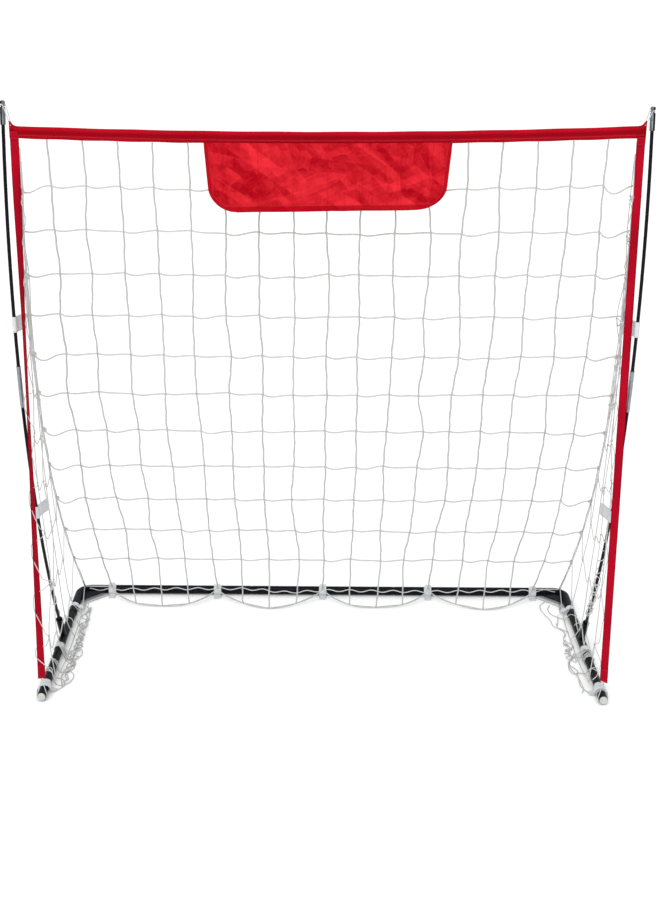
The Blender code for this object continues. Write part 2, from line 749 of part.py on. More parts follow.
def make_side_strap(name, side, depth):
    """Twice round the thinner side tube, so that it reaches the ground too."""
    thickness = SIDE_STRAP_THICKNESS
    first = SIDE_TUBE_RADIUS + GAP + thickness / 2
    step = 2 * math.pi / STRAP_FACETS
    start = math.pi / 2 + step / 2
    path = []
    for turn in range(2 * STRAP_FACETS + 1):
        radius = first if turn < STRAP_FACETS else first + thickness + GAP
        path.append(ring_point(radius, start + step * turn))
    place = frame_at(at(side * HALF_WIDTH, depth, AXIS_HEIGHT), (0, -1, 0), (1, 0, 0))
    strap(name, path, SIDE_STRAP_WIDTH, thickness, place, STRAP_GREY)


def make_corner_strap(label, side):
    radius = MAIN_TUBE_RADIUS + GAP + STRAP_THICKNESS / 2
    step = 2 * math.pi / STRAP_FACETS
    start = math.pi / 2 + step / 2
    path = [ring_point(radius, start + step * turn) for turn in range(STRAP_FACETS)]
    place = frame_at(at(side * HALF_WIDTH, CORNER_STRAP_DEPTH, AXIS_HEIGHT), (0, -1, 0), (1, 0, 0))
    strap("corner_strap_" + label, path, SIDE_STRAP_WIDTH, STRAP_THICKNESS, place, STRAP_GREY)


def make_pole_strap(name, side, height, tail):
    """Round the pole and back on itself, reaching level towards the net's seam."""
    centre, way = pole_place(side, pole_reach_at(height))
    beside = SEAM_SPACING + NET_CORD / 2 + STRAP_THICKNESS + 4 * GAP
    toward = seam_at_height(side, height) + Vector((side * beside, 0, 0)) - centre
    toward -= way * way.dot(toward)
    length = toward.length - NET_CORD if tail is None else tail
    rise = -(STRAP_DROOP + toward.normalized().z) / way.z
    radius = POLE_RADIUS + GAP + STRAP_THICKNESS / 2
    lap = (STRAP_THICKNESS + GAP) / 2
    steps = 10
    path = [(length, -lap), (radius * 3.5, -lap)]
    for step in range(steps + 1):
        angle = -math.radians(65) - math.radians(230) * step / steps
        path.append((radius * math.cos(angle), radius * math.sin(angle)))
    path += [(radius * 3.5, lap), (length, lap)]
    place = frame_at(centre, way, toward)
    strap(name, path, POLE_STRAP_WIDTH, STRAP_THICKNESS, place, STRAP_GREY, rise)


def make_front_loop(label, side):
    """The elastic loop that holds the strip's end down to the side tube."""
    half = LOOP_CORD / 2
    ring = SIDE_TUBE_RADIUS + GAP + half
    centre = at(side * HALF_WIDTH, STRIP_END_DEPTH, AXIS_HEIGHT)
    points = []
    steps = 10
    for step in range(steps + 1):
        angle = math.radians(170) + math.radians(200) * step / steps
        points.append(centre + Vector((math.cos(angle), 0, math.sin(angle))) * ring)
    peak = strip_centre(side, 1.0) - Vector((0, 0, GAP + half))
    pinch = 0.0021
    points.append(peak + Vector((pinch, 0, -0.005)))
    points.append(peak + Vector((pinch * 0.7, 0, 0)))
    points.append(peak + Vector((-pinch * 0.7, 0, 0)))
    points.append(peak + Vector((-pinch, 0, -0.005)))
    cord("front_loop_" + label, points, half, NET_WHITE, cyclic=True)


make_rear_middle()
make_sleeve()
make_banner()
make_rear_net()
for label, side in SIDES.items():
    make_corner_tube(label, side)
    make_gusset(label, side)
    make_side_tube(label, side)
    make_end_plug(label, side)
    make_pole_socket(label, side)
    make_pole(label, side)
    make_pole_tip(label, side)
    make_tip_cord(label, side)
    make_strip(label, side)
    make_front_loop(label, side)
    make_side_net(label, side)
    for spot, depth in SIDE_STRAP_DEPTHS.items():
        make_side_strap("side_strap_%s_%s" % (spot, label), side, depth)
    make_corner_strap(label, side)
    make_pole_strap("pole_strap_upper_" + label, side, UPPER_STRAP_AT, None)
    make_pole_strap("pole_strap_lower_" + label, side, LOWER_STRAP_AT, LOWER_STRAP_TAIL)

    rear_button = at(side * (MOUTH_X + BUTTON_FROM_MOUTH), BASE_DEPTH, AXIS_HEIGHT)
    button_hole("rear_" + label, rear_button, ("rear_tube_middle", "corner_tube_" + label))
    make_snap_button("snap_button_rear_" + label, rear_button)
    make_button_spring("button_spring_rear_" + label, rear_button, (side, 0, 0))

    side_button = at(side * HALF_WIDTH, CORNER_TUBE_END + BUTTON_FROM_MOUTH, AXIS_HEIGHT)
    button_hole("side_" + label, side_button, ("side_tube_" + label, "corner_tube_" + label))
    make_snap_button("snap_button_side_" + label, side_button)
    make_button_spring("button_spring_side_" + label, side_button, (0, 1, 0))

for number in range(5):
    column = (number - 2) * STRAP_EVERY
    make_rear_strap(number + 1, column * 2 * NET_FOOT_HALF / NET_COLUMNS)
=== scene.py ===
# %% [markdown]
# # A pop-up soccer goal
# The goal is a steel tube base on the ground, two bowed poles that stand in
# sockets on its side tubes, and soft goods hung between them: a red header
# sleeve with a banner, red webbing down the front edges, and a knotted net.
# The rigid parts come from the measured model and get better finishes. Each
# soft part is made again here, with the folds, knots and stitches that it has.

# %% Load the measured model
import math
import random

import bpy
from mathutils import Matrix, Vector, noise


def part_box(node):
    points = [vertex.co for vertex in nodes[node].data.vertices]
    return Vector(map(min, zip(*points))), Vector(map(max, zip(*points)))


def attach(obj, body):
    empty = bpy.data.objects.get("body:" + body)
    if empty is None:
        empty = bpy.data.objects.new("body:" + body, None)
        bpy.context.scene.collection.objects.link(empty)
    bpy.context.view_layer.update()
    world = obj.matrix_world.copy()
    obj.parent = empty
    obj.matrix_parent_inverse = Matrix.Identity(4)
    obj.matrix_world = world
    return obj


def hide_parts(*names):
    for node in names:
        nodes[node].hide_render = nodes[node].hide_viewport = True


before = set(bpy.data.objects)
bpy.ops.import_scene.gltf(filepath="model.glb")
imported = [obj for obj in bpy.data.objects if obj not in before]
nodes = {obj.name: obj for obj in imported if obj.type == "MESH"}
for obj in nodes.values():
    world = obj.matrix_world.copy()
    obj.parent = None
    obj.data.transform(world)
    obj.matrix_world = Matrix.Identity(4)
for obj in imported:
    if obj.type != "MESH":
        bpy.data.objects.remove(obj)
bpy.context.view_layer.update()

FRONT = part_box("end_plug_left")[0].y
SIDES = {"left": -1, "right": 1}
ACROSS, BACK, UP = Vector((1, 0, 0)), Vector((0, 1, 0)), Vector((0, 0, 1))


def at(x, depth, z):
    """A point given by its depth behind the faces of the tube ends."""
    return Vector((x, FRONT + depth, z))


def shares(steps):
    """Evenly spaced numbers from 0 to 1."""
    return [step / steps for step in range(steps + 1)]


def clamp(value, low=0.0, high=1.0):
    return max(low, min(high, value))


print("parts loaded:", len(nodes), "front of the tubes at", round(FRONT, 4))

# %% [markdown]
# ## Camera, floor and light
# The goal was photographed from a little above the crossbar, about four and a
# half metres away, looking down on it. A 60 mm lens on a 36 mm frame gives the
# same mild perspective. The floor is plain and just white, with a faint glow,
# and the lamps are so wide that the shadows of the thin cords stay faint. A
# brighter floor would swallow the cords, which are hardly wider than a pixel.

# %% Camera
bpy.ops.object.camera_add(
    location=(-0.0230, -4.7727, 2.3402),
    rotation=(math.radians(71.2850), math.radians(-0.5683), math.radians(-0.3058)),
)
camera = bpy.context.object
camera.name = "photo_camera"
camera.data.lens = 59.7
camera.data.sensor_width = 36.0
camera.data.clip_end = 400.0
bpy.context.scene.camera = camera
print("camera height", round(camera.location.z, 2), "m")

# %% Soft studio light
def soft_lamp(name, toward, width, power):
    """A very wide lamp, far away in one direction, so the whole floor is lit alike."""
    bpy.ops.object.light_add(type="SUN", location=Vector(toward) * 6)
    lamp = bpy.context.object
    lamp.name = name
    lamp.rotation_euler = (-Vector(toward)).to_track_quat("-Z", "Y").to_euler()
    lamp.data.angle = math.radians(width)
    lamp.data.energy = power


soft_lamp("key_light", (-0.20, -0.66, 0.80), 60, 2.15)
soft_lamp("back_light", (0.30, 0.70, 0.85), 60, 0.40)
world = bpy.data.worlds.new("studio")
world.use_nodes = True
room = world.node_tree
room.nodes["Background"].inputs["Color"].default_value = (1.0, 1.0, 1.0, 1.0)
ray = room.nodes.new("ShaderNodeLightPath")
strength = room.nodes.new("ShaderNodeMapRange")
strength.inputs["To Min"].default_value = 0.52
strength.inputs["To Max"].default_value = 1.0
room.links.new(ray.outputs["Is Camera Ray"], strength.inputs["Value"])
room.links.new(strength.outputs["Result"], room.nodes["Background"].inputs["Strength"])
bpy.context.scene.world = world
bpy.context.scene.view_settings.view_transform = "Standard"

# %% [markdown]
# ## Shader maths
# A finish is easier to read as a sum than as a web of nodes. `Value` wraps one
# node socket, and each operator adds the Math node that works it out, so
# `1 - mask` and `mask * 0.2 + 0.4` mean what they say.

# %% A value that can be added, multiplied and reversed
class Value:
    """One output socket of a finish, ready for arithmetic."""

    def __init__(self, finish, node, output=0):
        self.finish, self.node, self.socket = finish, node, node.outputs[output]

    def sum_of(self, operation, first, second=0.0):
        return self.finish.add("ShaderNodeMath", {"operation": operation}, {0: first, 1: second})

    def __add__(self, other):
        return self.sum_of("ADD", self, other)

    def __sub__(self, other):
        return self.sum_of("SUBTRACT", self, other)

    def __rsub__(self, other):
        return self.sum_of("SUBTRACT", other, self)

    def __mul__(self, other):
        return self.sum_of("MULTIPLY", self, other)

    def __pow__(self, other):
        return self.sum_of("POWER", self, other)

    __radd__ = __add__
    __rmul__ = __mul__

    def sine(self):
        return self.sum_of("SINE", self)

    def size(self):
        return self.sum_of("ABSOLUTE", self)

    def wave(self, length):
        """From 0 to 1 and back, once in every length."""
        return (self * (2 * math.pi / length)).sine() * 0.5 + 0.5

    def ridge(self):
        """1 along the line where the value is one half, falling off on both sides."""
        return 1 - (self * 2 - 1).size()

    def above(self, level, softness):
        """0 below the level and 1 above it, with a soft step between."""
        return self.finish.add(
            "ShaderNodeMapRange", {"interpolation_type": "SMOOTHSTEP"},
            {0: self, 1: level - softness, 2: level + softness, 3: 0.0, 4: 1.0},
        )


# %% A finish: one material and short ways to add to it
class Finish:
    """A material being built up from its shader's own colour and roughness."""

    def __init__(self, name, colour, roughness, metallic=0.0, **fixed):
        self.material = bpy.data.materials.new(name)
        self.material.use_nodes = True
        self.tree = self.material.node_tree
        self.shader = self.tree.nodes["Principled BSDF"]
        start = {"Base Color": (*colour, 1.0), "Roughness": roughness, "Metallic": metallic}
        self.fill(self.shader, {**start, **{key.replace("_", " "): fixed[key] for key in fixed}})

    def fill(self, node, values):
        for key, value in values.items():
            if isinstance(value, Value):
                self.tree.links.new(value.socket, node.inputs[key])
            else:
                node.inputs[key].default_value = value

    def add(self, kind, settings=None, values=None, output=0):
        """Any node: its type, its settings, and what goes into its sockets."""
        node = self.tree.nodes.new(kind)
        for key, value in (settings or {}).items():
            setattr(node, key, value)
        self.fill(node, values or {})
        return Value(self, node, output)

    def place(self, stretch=(1.0, 1.0, 1.0), source="Object"):
        """Where a point is on the object, or on the cloth with source UV."""
        spot = self.add("ShaderNodeTexCoord")
        spot = Value(self, spot.node, spot.node.outputs.find(source))
        return self.add("ShaderNodeMapping", None, {"Vector": spot, "Scale": stretch})

    def axes(self, spot):
        split = self.add("ShaderNodeSeparateXYZ", None, {0: spot})
        return [Value(self, split.node, index) for index in range(3)]

    def noise(self, spot, scale, detail=2.0):
        values = {"Vector": spot, "Scale": scale, "Detail": detail}
        return self.add("ShaderNodeTexNoise", None, values)

    def colour(self, mask, first, second):
        """The base colour, from first to second as the mask goes from 0 to 1."""
        mixed = self.add(
            "ShaderNodeMix", {"data_type": "RGBA"}, {0: mask, 6: (*first, 1.0), 7: (*second, 1.0)},
            output=2,
        )
        self.fill(self.shader, {"Base Color": mixed})
        return mixed

    def rough(self, value):
        self.fill(self.shader, {"Roughness": value})

    def relief(self, height, depth, strength=1.0):
        """A bump of the given depth in metres."""
        values = {"Height": height, "Distance": depth, "Strength": strength}
        self.fill(self.shader, {"Normal": self.add("ShaderNodeBump", None, values)})


def fit(finish, *names):
    """Give measured parts a finish through their material slots."""
    for name in names:
        for slot in nodes[name].material_slots:
            slot.material = finish.material


# %% [markdown]
# ## Finishes of the rigid parts
# The base is powder-coated steel: black, a little blue, with the fine orange
# peel of baked powder and pale scuffs where tubes have been pushed together.
# The poles are smoother drawn fibreglass with faint streaks along them. The
# ferrules are dull aluminium, and the tips are dark turned metal, with a
# painted reflection that darkens the outer side of each tip.

# %% Powder-coated steel
powder_coat = Finish("black_powder_coat", (0.006, 0.007, 0.010), 0.34, Specular_IOR_Level=0.065)
spot = powder_coat.place()
peel = powder_coat.noise(spot, 700.0, 2.0)
cloud = powder_coat.noise(spot, 9.0, 3.0)
scuff = powder_coat.noise(powder_coat.place((1.0, 0.25, 1.0)), 120.0, 6.0).above(0.66, 0.04)
powder_coat.colour(scuff * cloud, (0.0035, 0.0040, 0.0075), (0.050, 0.052, 0.060))
powder_coat.rough(0.24 + cloud * 0.12 + scuff * 0.15)
powder_coat.relief(peel, 0.00012, 0.5)
base_tubes = ["rear_tube_middle"]
base_tubes += ["%s_%s" % (kind, side) for side in SIDES for kind in (
    "corner_tube", "corner_gusset", "side_tube", "pole_socket")]
fit(powder_coat, *base_tubes)
print("powder coat on", len(base_tubes), "tubes and webs")

# %% Fibreglass, ferrule and tip
fibreglass = Finish("black_fibreglass", (0.003, 0.003, 0.005), 0.3, Specular_IOR_Level=0.10)
streak = fibreglass.noise(fibreglass.place((1.0, 1.0, 0.02)), 900.0, 2.0)
fibreglass.colour(streak, (0.0015, 0.0015, 0.0035), (0.008, 0.008, 0.011))
fibreglass.rough(0.22 + streak * 0.16)
fibreglass.relief(streak, 0.00005, 0.6)

drawn_aluminium = Finish("dull_aluminium", (0.28, 0.31, 0.35), 0.38, 0.85)
rub = drawn_aluminium.noise(drawn_aluminium.place((1.0, 1.0, 0.08)), 500.0, 3.0)
mark = drawn_aluminium.noise(drawn_aluminium.place(), 60.0, 4.0)
drawn_aluminium.colour(mark, (0.20, 0.23, 0.26), (0.38, 0.41, 0.45))
drawn_aluminium.rough(0.28 + rub * 0.2)
drawn_aluminium.relief(rub, 0.00004, 0.5)

turned_metal = Finish("dark_turned_metal", (0.10, 0.11, 0.12), 0.3, 0.9)
side_way, _, up = turned_metal.axes(turned_metal.place())
# Painted reflection: the outer side of each tip is coloured near black and the inner side lighter, standing
# in for what the metal reflects.
painted_dark_outer_side = side_way.size().above(0.9405, 0.0012)
ring = (up * (2 * math.pi / 0.0011)).sine()
tarnish = turned_metal.noise(turned_metal.place(), 170.0, 4.0)
turned_metal.colour((0.3 + tarnish) * (1 - painted_dark_outer_side), (0.012, 0.014, 0.015), (0.27, 0.29, 0.30))
turned_metal.rough(0.22 + tarnish * 0.2)
turned_metal.relief(ring, 0.00004, 0.4)
for side in SIDES:
    fit(fibreglass, "pole_lower_" + side, "pole_upper_" + side)
    fit(drawn_aluminium, "pole_ferrule_" + side)
    fit(turned_metal, "pole_tip_" + side)
print("poles finished")

# %% Plugs and snap buttons
pale_plastic = Finish("pale_moulded_plastic", (0.50, 0.54, 0.50), 0.45)
grain = pale_plastic.noise(pale_plastic.place(), 900.0, 3.0)
dirt = pale_plastic.noise(pale_plastic.place(), 140.0, 4.0)
pale_plastic.colour(dirt, (0.36, 0.40, 0.37), (0.60, 0.64, 0.60))
pale_plastic.rough(0.38 + grain * 0.18)
pale_plastic.relief(grain, 0.00008, 0.5)

spring_steel = Finish("spring_steel", (0.45, 0.46, 0.48), 0.3, 1.0)
wear = spring_steel.noise(spring_steel.place(), 800.0, 3.0)
spring_steel.colour(wear, (0.33, 0.34, 0.36), (0.56, 0.57, 0.60))
spring_steel.rough(0.22 + wear * 0.2)
spring_steel.relief(wear, 0.00003, 0.4)
for side in SIDES:
    fit(pale_plastic, "end_plug_" + side)
    for joint in ("rear_", "side_"):
        fit(spring_steel, "snap_button_" + joint + side, "button_spring_" + joint + side)
print("plugs and buttons finished")

# %% [markdown]
# ## Finishes of the soft parts
# Webbing and sleeve are woven polyester, so their bump is two crossing ribs a
# millimetre or so apart, laid on the cloth's own UV map in metres. Net cord is
# twisted, and slanting ribs give the twist. Loop tape is fuzzy, so it has fine
# noise instead of ribs, and a pale sheen.

# %% Woven polyester
def woven(name, colour, across, along, roughness, depth):
    """Cloth with ribs across and along metres apart, and its two UV values."""
    cloth = Finish(name, colour, roughness, Specular_IOR_Level=0.03)
    u, v, _ = cloth.axes(cloth.place(source="UV"))
    fibre = cloth.noise(cloth.place(), 1200.0, 2.0)
    cloth.rough(roughness - 0.1 + fibre * 0.2)
    cloth.relief(u.wave(across) * 0.5 + v.wave(along) * 0.35 + fibre * 0.3, depth, 0.7)
    return cloth, u, v


red_webbing, edge_turn, _ = woven("red_webbing", (0.44, 0.0020, 0.016), 0.0023, 0.0011, 0.66, 0.00022)
selvedge = 1 - edge_turn.above(0.0022, 0.0008) * (1 - edge_turn.above(0.0228, 0.0008))
rub_marks = red_webbing.noise(red_webbing.place((1.0, 1.0, 0.25)), 22.0, 4.0)
webbing_tone = (0.2 + rub_marks) * (1 - selvedge * 0.6)
red_webbing.colour(webbing_tone, (0.13, 0.0003, 0.0045), (0.49, 0.0028, 0.018))

red_sleeve, _, around = woven("red_sleeve_cloth", (0.54, 0.0020, 0.015), 0.0008, 0.0008, 0.62, 0.00012)
# Painted shade: the lower half of the tunnel down to the crease is darkened, and the cloth below it about
# half as much.
painted_tunnel_shade = around.above(0.0135, 0.003) * (1 - around.above(0.0215, 0.0025) * 0.55)
wear = red_sleeve.noise(red_sleeve.place((0.3, 1.0, 1.0)), 30.0, 4.0)
end_way, _, _ = red_sleeve.axes(red_sleeve.place())
# Painted shade in the puckers: near the ends of the sleeve the cloth is darkened in streaks.
painted_shade_at_ends = end_way.size().above(0.893, 0.012)
pucker = red_sleeve.noise(red_sleeve.place((1.0, 1.0, 0.45)), 150.0, 3.0).above(0.5, 0.12)
sleeve_tone = (0.25 + wear * 0.9) * (1 - painted_tunnel_shade * 0.75) * (1 - painted_shade_at_ends * pucker * 0.75)
red_sleeve.colour(sleeve_tone, (0.22, 0.0006, 0.0040), (0.52, 0.0030, 0.0165))
print("woven cloths:", red_webbing.material.name, red_sleeve.material.name)

# %% Creased satin for the banner
banner_satin = Finish("creased_banner_satin", (0.68, 0.010, 0.022), 0.50, Specular_IOR_Level=0.03)
u, _, _ = banner_satin.axes(banner_satin.place(source="UV"))
cloud = banner_satin.noise(banner_satin.place((1.0, 1.0, 1.5)), 14.0, 4.0)
crinkle = banner_satin.noise(banner_satin.place((1.0, 1.0, 1.2)), 34.0, 3.0).ridge()
thread = u.wave(0.0007)
# Painted shade and highlight of the creases, read from the points.
painted_facet_light = banner_satin.add("ShaderNodeAttribute", {"attribute_name": "painted_facet_light"}, output=2)
hem_band = banner_satin.add("ShaderNodeAttribute", {"attribute_name": "hem"}, output=2)
sideways, _, _ = banner_satin.axes(banner_satin.place())
MESH_WIDTH = 0.1012
net_mark = (sideways + MESH_WIDTH / 4).wave(MESH_WIDTH) ** 500
# Painted highlight: thin lighter lines along the ridges of the fine crinkles.
tone = painted_facet_light * 0.90 + cloud.above(0.5, 0.2) * 0.08 + (crinkle ** 8) * 0.14 - 0.06
tone = tone * (1 - hem_band * 0.75) * (1 - net_mark * 0.35)
banner_satin.colour(tone, (0.37, 0.0004, 0.0070), (0.75, 0.024, 0.036))
banner_satin.rough(0.42 + crinkle * 0.2)
banner_satin.relief(crinkle * 0.3 + thread * 0.004, 0.010, 0.5)
print("banner satin ready")

# %% Twisted cord, elastic and loop tape
def twisted(name, dark, bright, lay):
    """Cord whose strands slant, one strand every lay metres."""
    cord = Finish(name, bright, 0.62, Specular_IOR_Level=0.3)
    x, y, z = cord.axes(cord.place())
    strand = (x * 1.7 + y * 1.7 + z).wave(lay)
    grime = cord.noise(cord.place(), 30.0, 4.0)
    cord.colour(strand * 0.35 + grime * 0.65, dark, bright)
    cord.rough(0.55 + strand * 0.15)
    cord.relief(strand, 0.0004, 0.6)
    return cord


upright_cord = twisted("net_cord_upright", (0.37, 0.385, 0.375), (0.60, 0.615, 0.60), 0.0048)
row_cord = twisted("net_cord_row", (0.44, 0.455, 0.445), (0.68, 0.695, 0.68), 0.0042)
spare_cord = twisted("net_cord_spare", (0.36, 0.37, 0.365), (0.66, 0.67, 0.66), 0.0036)
white_cord = twisted("white_lacing_cord", (0.46, 0.47, 0.47), (0.70, 0.71, 0.70), 0.0034)

loop_tape = Finish("loop_tape", (0.56, 0.58, 0.59), 0.9, Sheen_Weight=0.15, Sheen_Roughness=0.6)
fuzz = loop_tape.noise(loop_tape.place(), 1500.0, 4.0)
blotch = loop_tape.noise(loop_tape.place(), 90.0, 4.0)
loop_tape.colour(blotch * 0.6 + fuzz * 0.4, (0.48, 0.51, 0.53), (0.78, 0.81, 0.83))
loop_tape.rough(0.8 + fuzz * 0.18)
loop_tape.relief(fuzz * 0.7 + blotch * 0.6, 0.0007, 0.8)

thread_look = Finish("sewing_thread", (0.50, 0.010, 0.020), 0.6)
spun = thread_look.noise(thread_look.place(), 900.0, 2.0)
thread_look.colour(spun, (0.42, 0.006, 0.02), (0.72, 0.05, 0.07))
print("cords and tapes ready")

# %% [markdown]
# ## Helpers for cloth and cord
# Cloth starts as a flat grid primitive whose points are then laid on a
# surface, and gets its thickness from Solidify. Its UV map is scaled to real
# metres, so that one weave fits every strap. Cord is a curve with a round
# bevel, made a mesh once its course is right.

# %% Cloth from a grid
def finish_piece(piece, finish, stands_for=(), body="goal"):
    """Dress a piece, put it on its body and hide the measured parts it replaces."""
    piece.data.materials.clear()
    piece.data.materials.append(finish.material)
    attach(piece, body)
    if stands_for:
        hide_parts(*stands_for)
    return piece


def select_only(piece):
    bpy.ops.object.select_all(action="DESELECT")
    piece.select_set(True)
    bpy.context.view_layer.objects.active = piece


def cloth_grid(name, columns, rows, surface, width, length):
    """A grid laid on surface(u, v), its UV map in metres of cloth."""
    bpy.ops.object.select_all(action="DESELECT")
    bpy.ops.mesh.primitive_grid_add(x_subdivisions=columns, y_subdivisions=rows, size=1)
    piece = bpy.context.object
    piece.name = piece.data.name = name
    for corner in piece.data.vertices:
        corner.co = surface(corner.co.x + 0.5, 0.5 - corner.co.y)
    for loop in piece.data.uv_layers[0].data:
        loop.uv = (loop.uv[0] * width, loop.uv[1] * length)
    bpy.ops.object.shade_smooth()
    return piece


def thicken(piece, thickness, offset=0.0):
    select_only(piece)
    wall = piece.modifiers.new("thickness", "SOLIDIFY")
    wall.thickness = thickness
    wall.offset = offset
    bpy.ops.object.modifier_apply(modifier="thickness")


# %% Cord from a curve
def smooth_run(points, steps, closed=False):
    """More points on a soft curve through the given ones."""
    count = len(points)
    made = []
    for index in range(count if closed else count - 1):
        if closed:
            p0, p1, p2, p3 = (points[(index + shift) % count] for shift in (-1, 0, 1, 2))
        else:
            p0, p1 = points[max(index - 1, 0)], points[index]
            p2, p3 = points[index + 1], points[min(index + 2, count - 1)]
        for step in range(steps):
            t = step / steps
            made.append(0.5 * (
                2 * p1 + (p2 - p0) * t + (2 * p0 - 5 * p1 + 4 * p2 - p3) * t ** 2
                + (3 * p1 - p0 - 3 * p2 + p3) * t ** 3
            ))
    return made if closed else made + [points[-1]]


def cords(name, runs, radius, finish, stands_for=(), body="goal", closed=False, sides=6):
    """Every run of points as a round cord, all in one finished mesh."""
    data = bpy.data.curves.new(name, "CURVE")
    data.dimensions = "3D"
    data.bevel_depth = radius
    data.bevel_resolution = max(0, (sides - 4) // 2)
    data.use_fill_caps = True
    for run in runs:
        spline = data.splines.new("POLY")
        spline.points.add(len(run) - 1)
        for place, point in zip(spline.points, run):
            place.co = (*point, 1.0)
        spline.use_cyclic_u = closed
    piece = bpy.data.objects.new(name, data)
    bpy.context.scene.collection.objects.link(piece)
    select_only(piece)
    bpy.ops.object.convert(target="MESH")
    bpy.ops.object.shade_smooth()
    return finish_piece(piece, finish, stands_for, body)


def way_at(run, index):
    """The direction in which a run of points passes one of them."""
    return (run[index + 1] - run[index - 1]).normalized()


def keep_above(points, height):
    """Lift every point that is lower than the height."""
    for point in points:
        point.z = max(point.z, height)


def stitch_runs(line, out, spacing=0.0042, length=0.0030, lift=0.0004):
    """Short thread runs along a line, each rising in its middle."""
    made = []
    walked, wanted = 0.0, spacing / 2
    for first, second in zip(line, line[1:]):
        span = (second - first).length
        while wanted < walked + span:
            middle = first.lerp(second, (wanted - walked) / span)
            way = (second - first).normalized() * length / 2
            made.append([middle - way, middle + out * lift, middle + way])
            wanted += spacing
        walked += span
    return made


print("helpers ready")

# %% [markdown]
# ## Where the net hangs
# The net is sewn to the sleeve at the top and strapped to the rear bar at the
# bottom. Between them it sags forward and down, so in side view it is a
# curve. These are the measured model's own formulas, so what is made here
# hangs where its solids do.

# %% The hanging surface
SLEEVE_LENGTH, SLEEVE_HEIGHT, SLEEVE_WIDTH = 1.830, 1.830, 0.035
SLEEVE_DEPTH, SLEEVE_SAG = 0.020, 0.017
SLEEVE_BOTTOM = SLEEVE_HEIGHT - SLEEVE_WIDTH / 2
HALF_WIDTH, BASE_DEPTH, AXIS_HEIGHT = 0.914, 0.860, 0.0178
MAIN_RADIUS, SIDE_RADIUS = 0.016, 0.0142
NET_COLUMNS, NET_ROWS = 18, 12
NET_TOP_HALF, NET_FOOT_HALF = 0.9105, 0.894
NET_TOP = Vector((0.023, 1.8107))
NET_FOOT = Vector((0.8401, 0.0374))
NET_SAG = 0.185
HEM_DEPTH, HEM_HEIGHT, HEM_START = 0.735, 0.0035, 0.92
STRAP_EVERY, LAST_STRAP = 4, 8  # meshes between two straps, and from the middle to the last
SLEEVE_TILT = 0.0085


def sleeve_drop(x):
    """The sleeve sags in the middle, and its left end is tied lower than its right."""
    share = 2 * x / SLEEVE_LENGTH
    return SLEEVE_SAG * (1.0 - min(1.0, share ** 2)) - SLEEVE_TILT * share


def row_place(share):
    """Rows stand further apart lower down."""
    return 0.82 * share + 0.18 * share ** 4


def half_width(v):
    """Half the rear net's width, a little less at the foot."""
    return NET_TOP_HALF + (NET_FOOT_HALF - NET_TOP_HALF) * v ** 6


def slope_point(v):
    """Depth and height of the rear net's sagging slope."""
    slope = NET_FOOT - NET_TOP
    down_forward = Vector((slope.y, -slope.x)).normalized()
    return NET_TOP + slope * v + down_forward * NET_SAG * math.sin(math.pi * v ** 1.05)


def scallop(column):
    """How far the hem hangs from the bar, 0 at a strap and 1 between two."""
    from_middle = abs(column - NET_COLUMNS / 2)
    if from_middle >= LAST_STRAP:
        return 0.0
    return math.sin(math.pi * (from_middle % STRAP_EVERY) / STRAP_EVERY) ** 0.6


def rear_net(u, row):
    """A point of the rear net, u from left to right and row from the sleeve to the hem."""
    v = row_place(row)
    depth, height = slope_point(v)
    x = (2 * u - 1) * half_width(v)
    height -= sleeve_drop(x) * (1 - v) ** 3
    if row > HEM_START:
        hang = scallop(u * NET_COLUMNS) * (row - HEM_START) / (1 - HEM_START)
        depth += (HEM_DEPTH + 0.007 * math.sin(u * NET_COLUMNS * 2.3 + 1.0) - depth) * hang
        height += (HEM_HEIGHT - height) * hang
    return at(x, depth, height)


print("net at mid height lies", round(slope_point(0.5).x, 3), "m behind the front")

# %% [markdown]
# ## The knotted net
# Uprights hang under tension, so they are nearly straight with small kicks at
# the knots. The rows are slack, and each length dips after its knot and rises
# to the next. A hitch of two small turns holds every crossing. The crossings
# are one table of points that the uprights and the rows share, so they always
# meet.

# %% Table of knots
shake = random.Random(11)


def jitter(size):
    """A small random shift, a little less in depth and height."""
    return Vector((shake.gauss(0, size), shake.gauss(0, size * 0.8), shake.gauss(0, size * 0.9)))


sway = [[shake.gauss(0, 0.0035) for _ in range(NET_ROWS + 1)] for _ in range(NET_COLUMNS + 1)]
knots = []
for column in range(NET_COLUMNS + 1):
    line = []
    for row in range(NET_ROWS + 1):
        loose = 0.0 if row in (0, NET_ROWS) or column in (0, NET_COLUMNS) else 1.0
        point = rear_net(column / NET_COLUMNS, row / NET_ROWS) + jitter(0.0022 * loose)
        point.x += sway[column][row] * loose
        line.append(point)
    knots.append(line)
print("knots:", sum(len(line) for line in knots))

# %% Uprights and rows
UPRIGHT_RADIUS, ROW_RADIUS = 0.0027, 0.0026
upright_runs = []
for column in range(1, NET_COLUMNS):
    course = smooth_run(knots[column], 6)
    for index, point in enumerate(course[1:-1], 1):
        point.x += 0.0012 * math.sin(index * 1.9 + column * 2.3)
    upright_runs.append(course)
uprights = cords("net_uprights", upright_runs, UPRIGHT_RADIUS, upright_cord, ["net_rear"])


def slack_row(first, second, dip, lean, steps=8):
    """A slack length between two knots, lowest soon after the first."""
    made = []
    for step in range(steps):
        t = step / steps
        point = first.lerp(second, t)
        shape = math.sin(math.pi * t ** 0.7) + 0.35 * math.sin(2 * math.pi * t)
        point.z -= dip * shape
        point.y += lean * math.sin(math.pi * t)
        made.append(point)
    return made


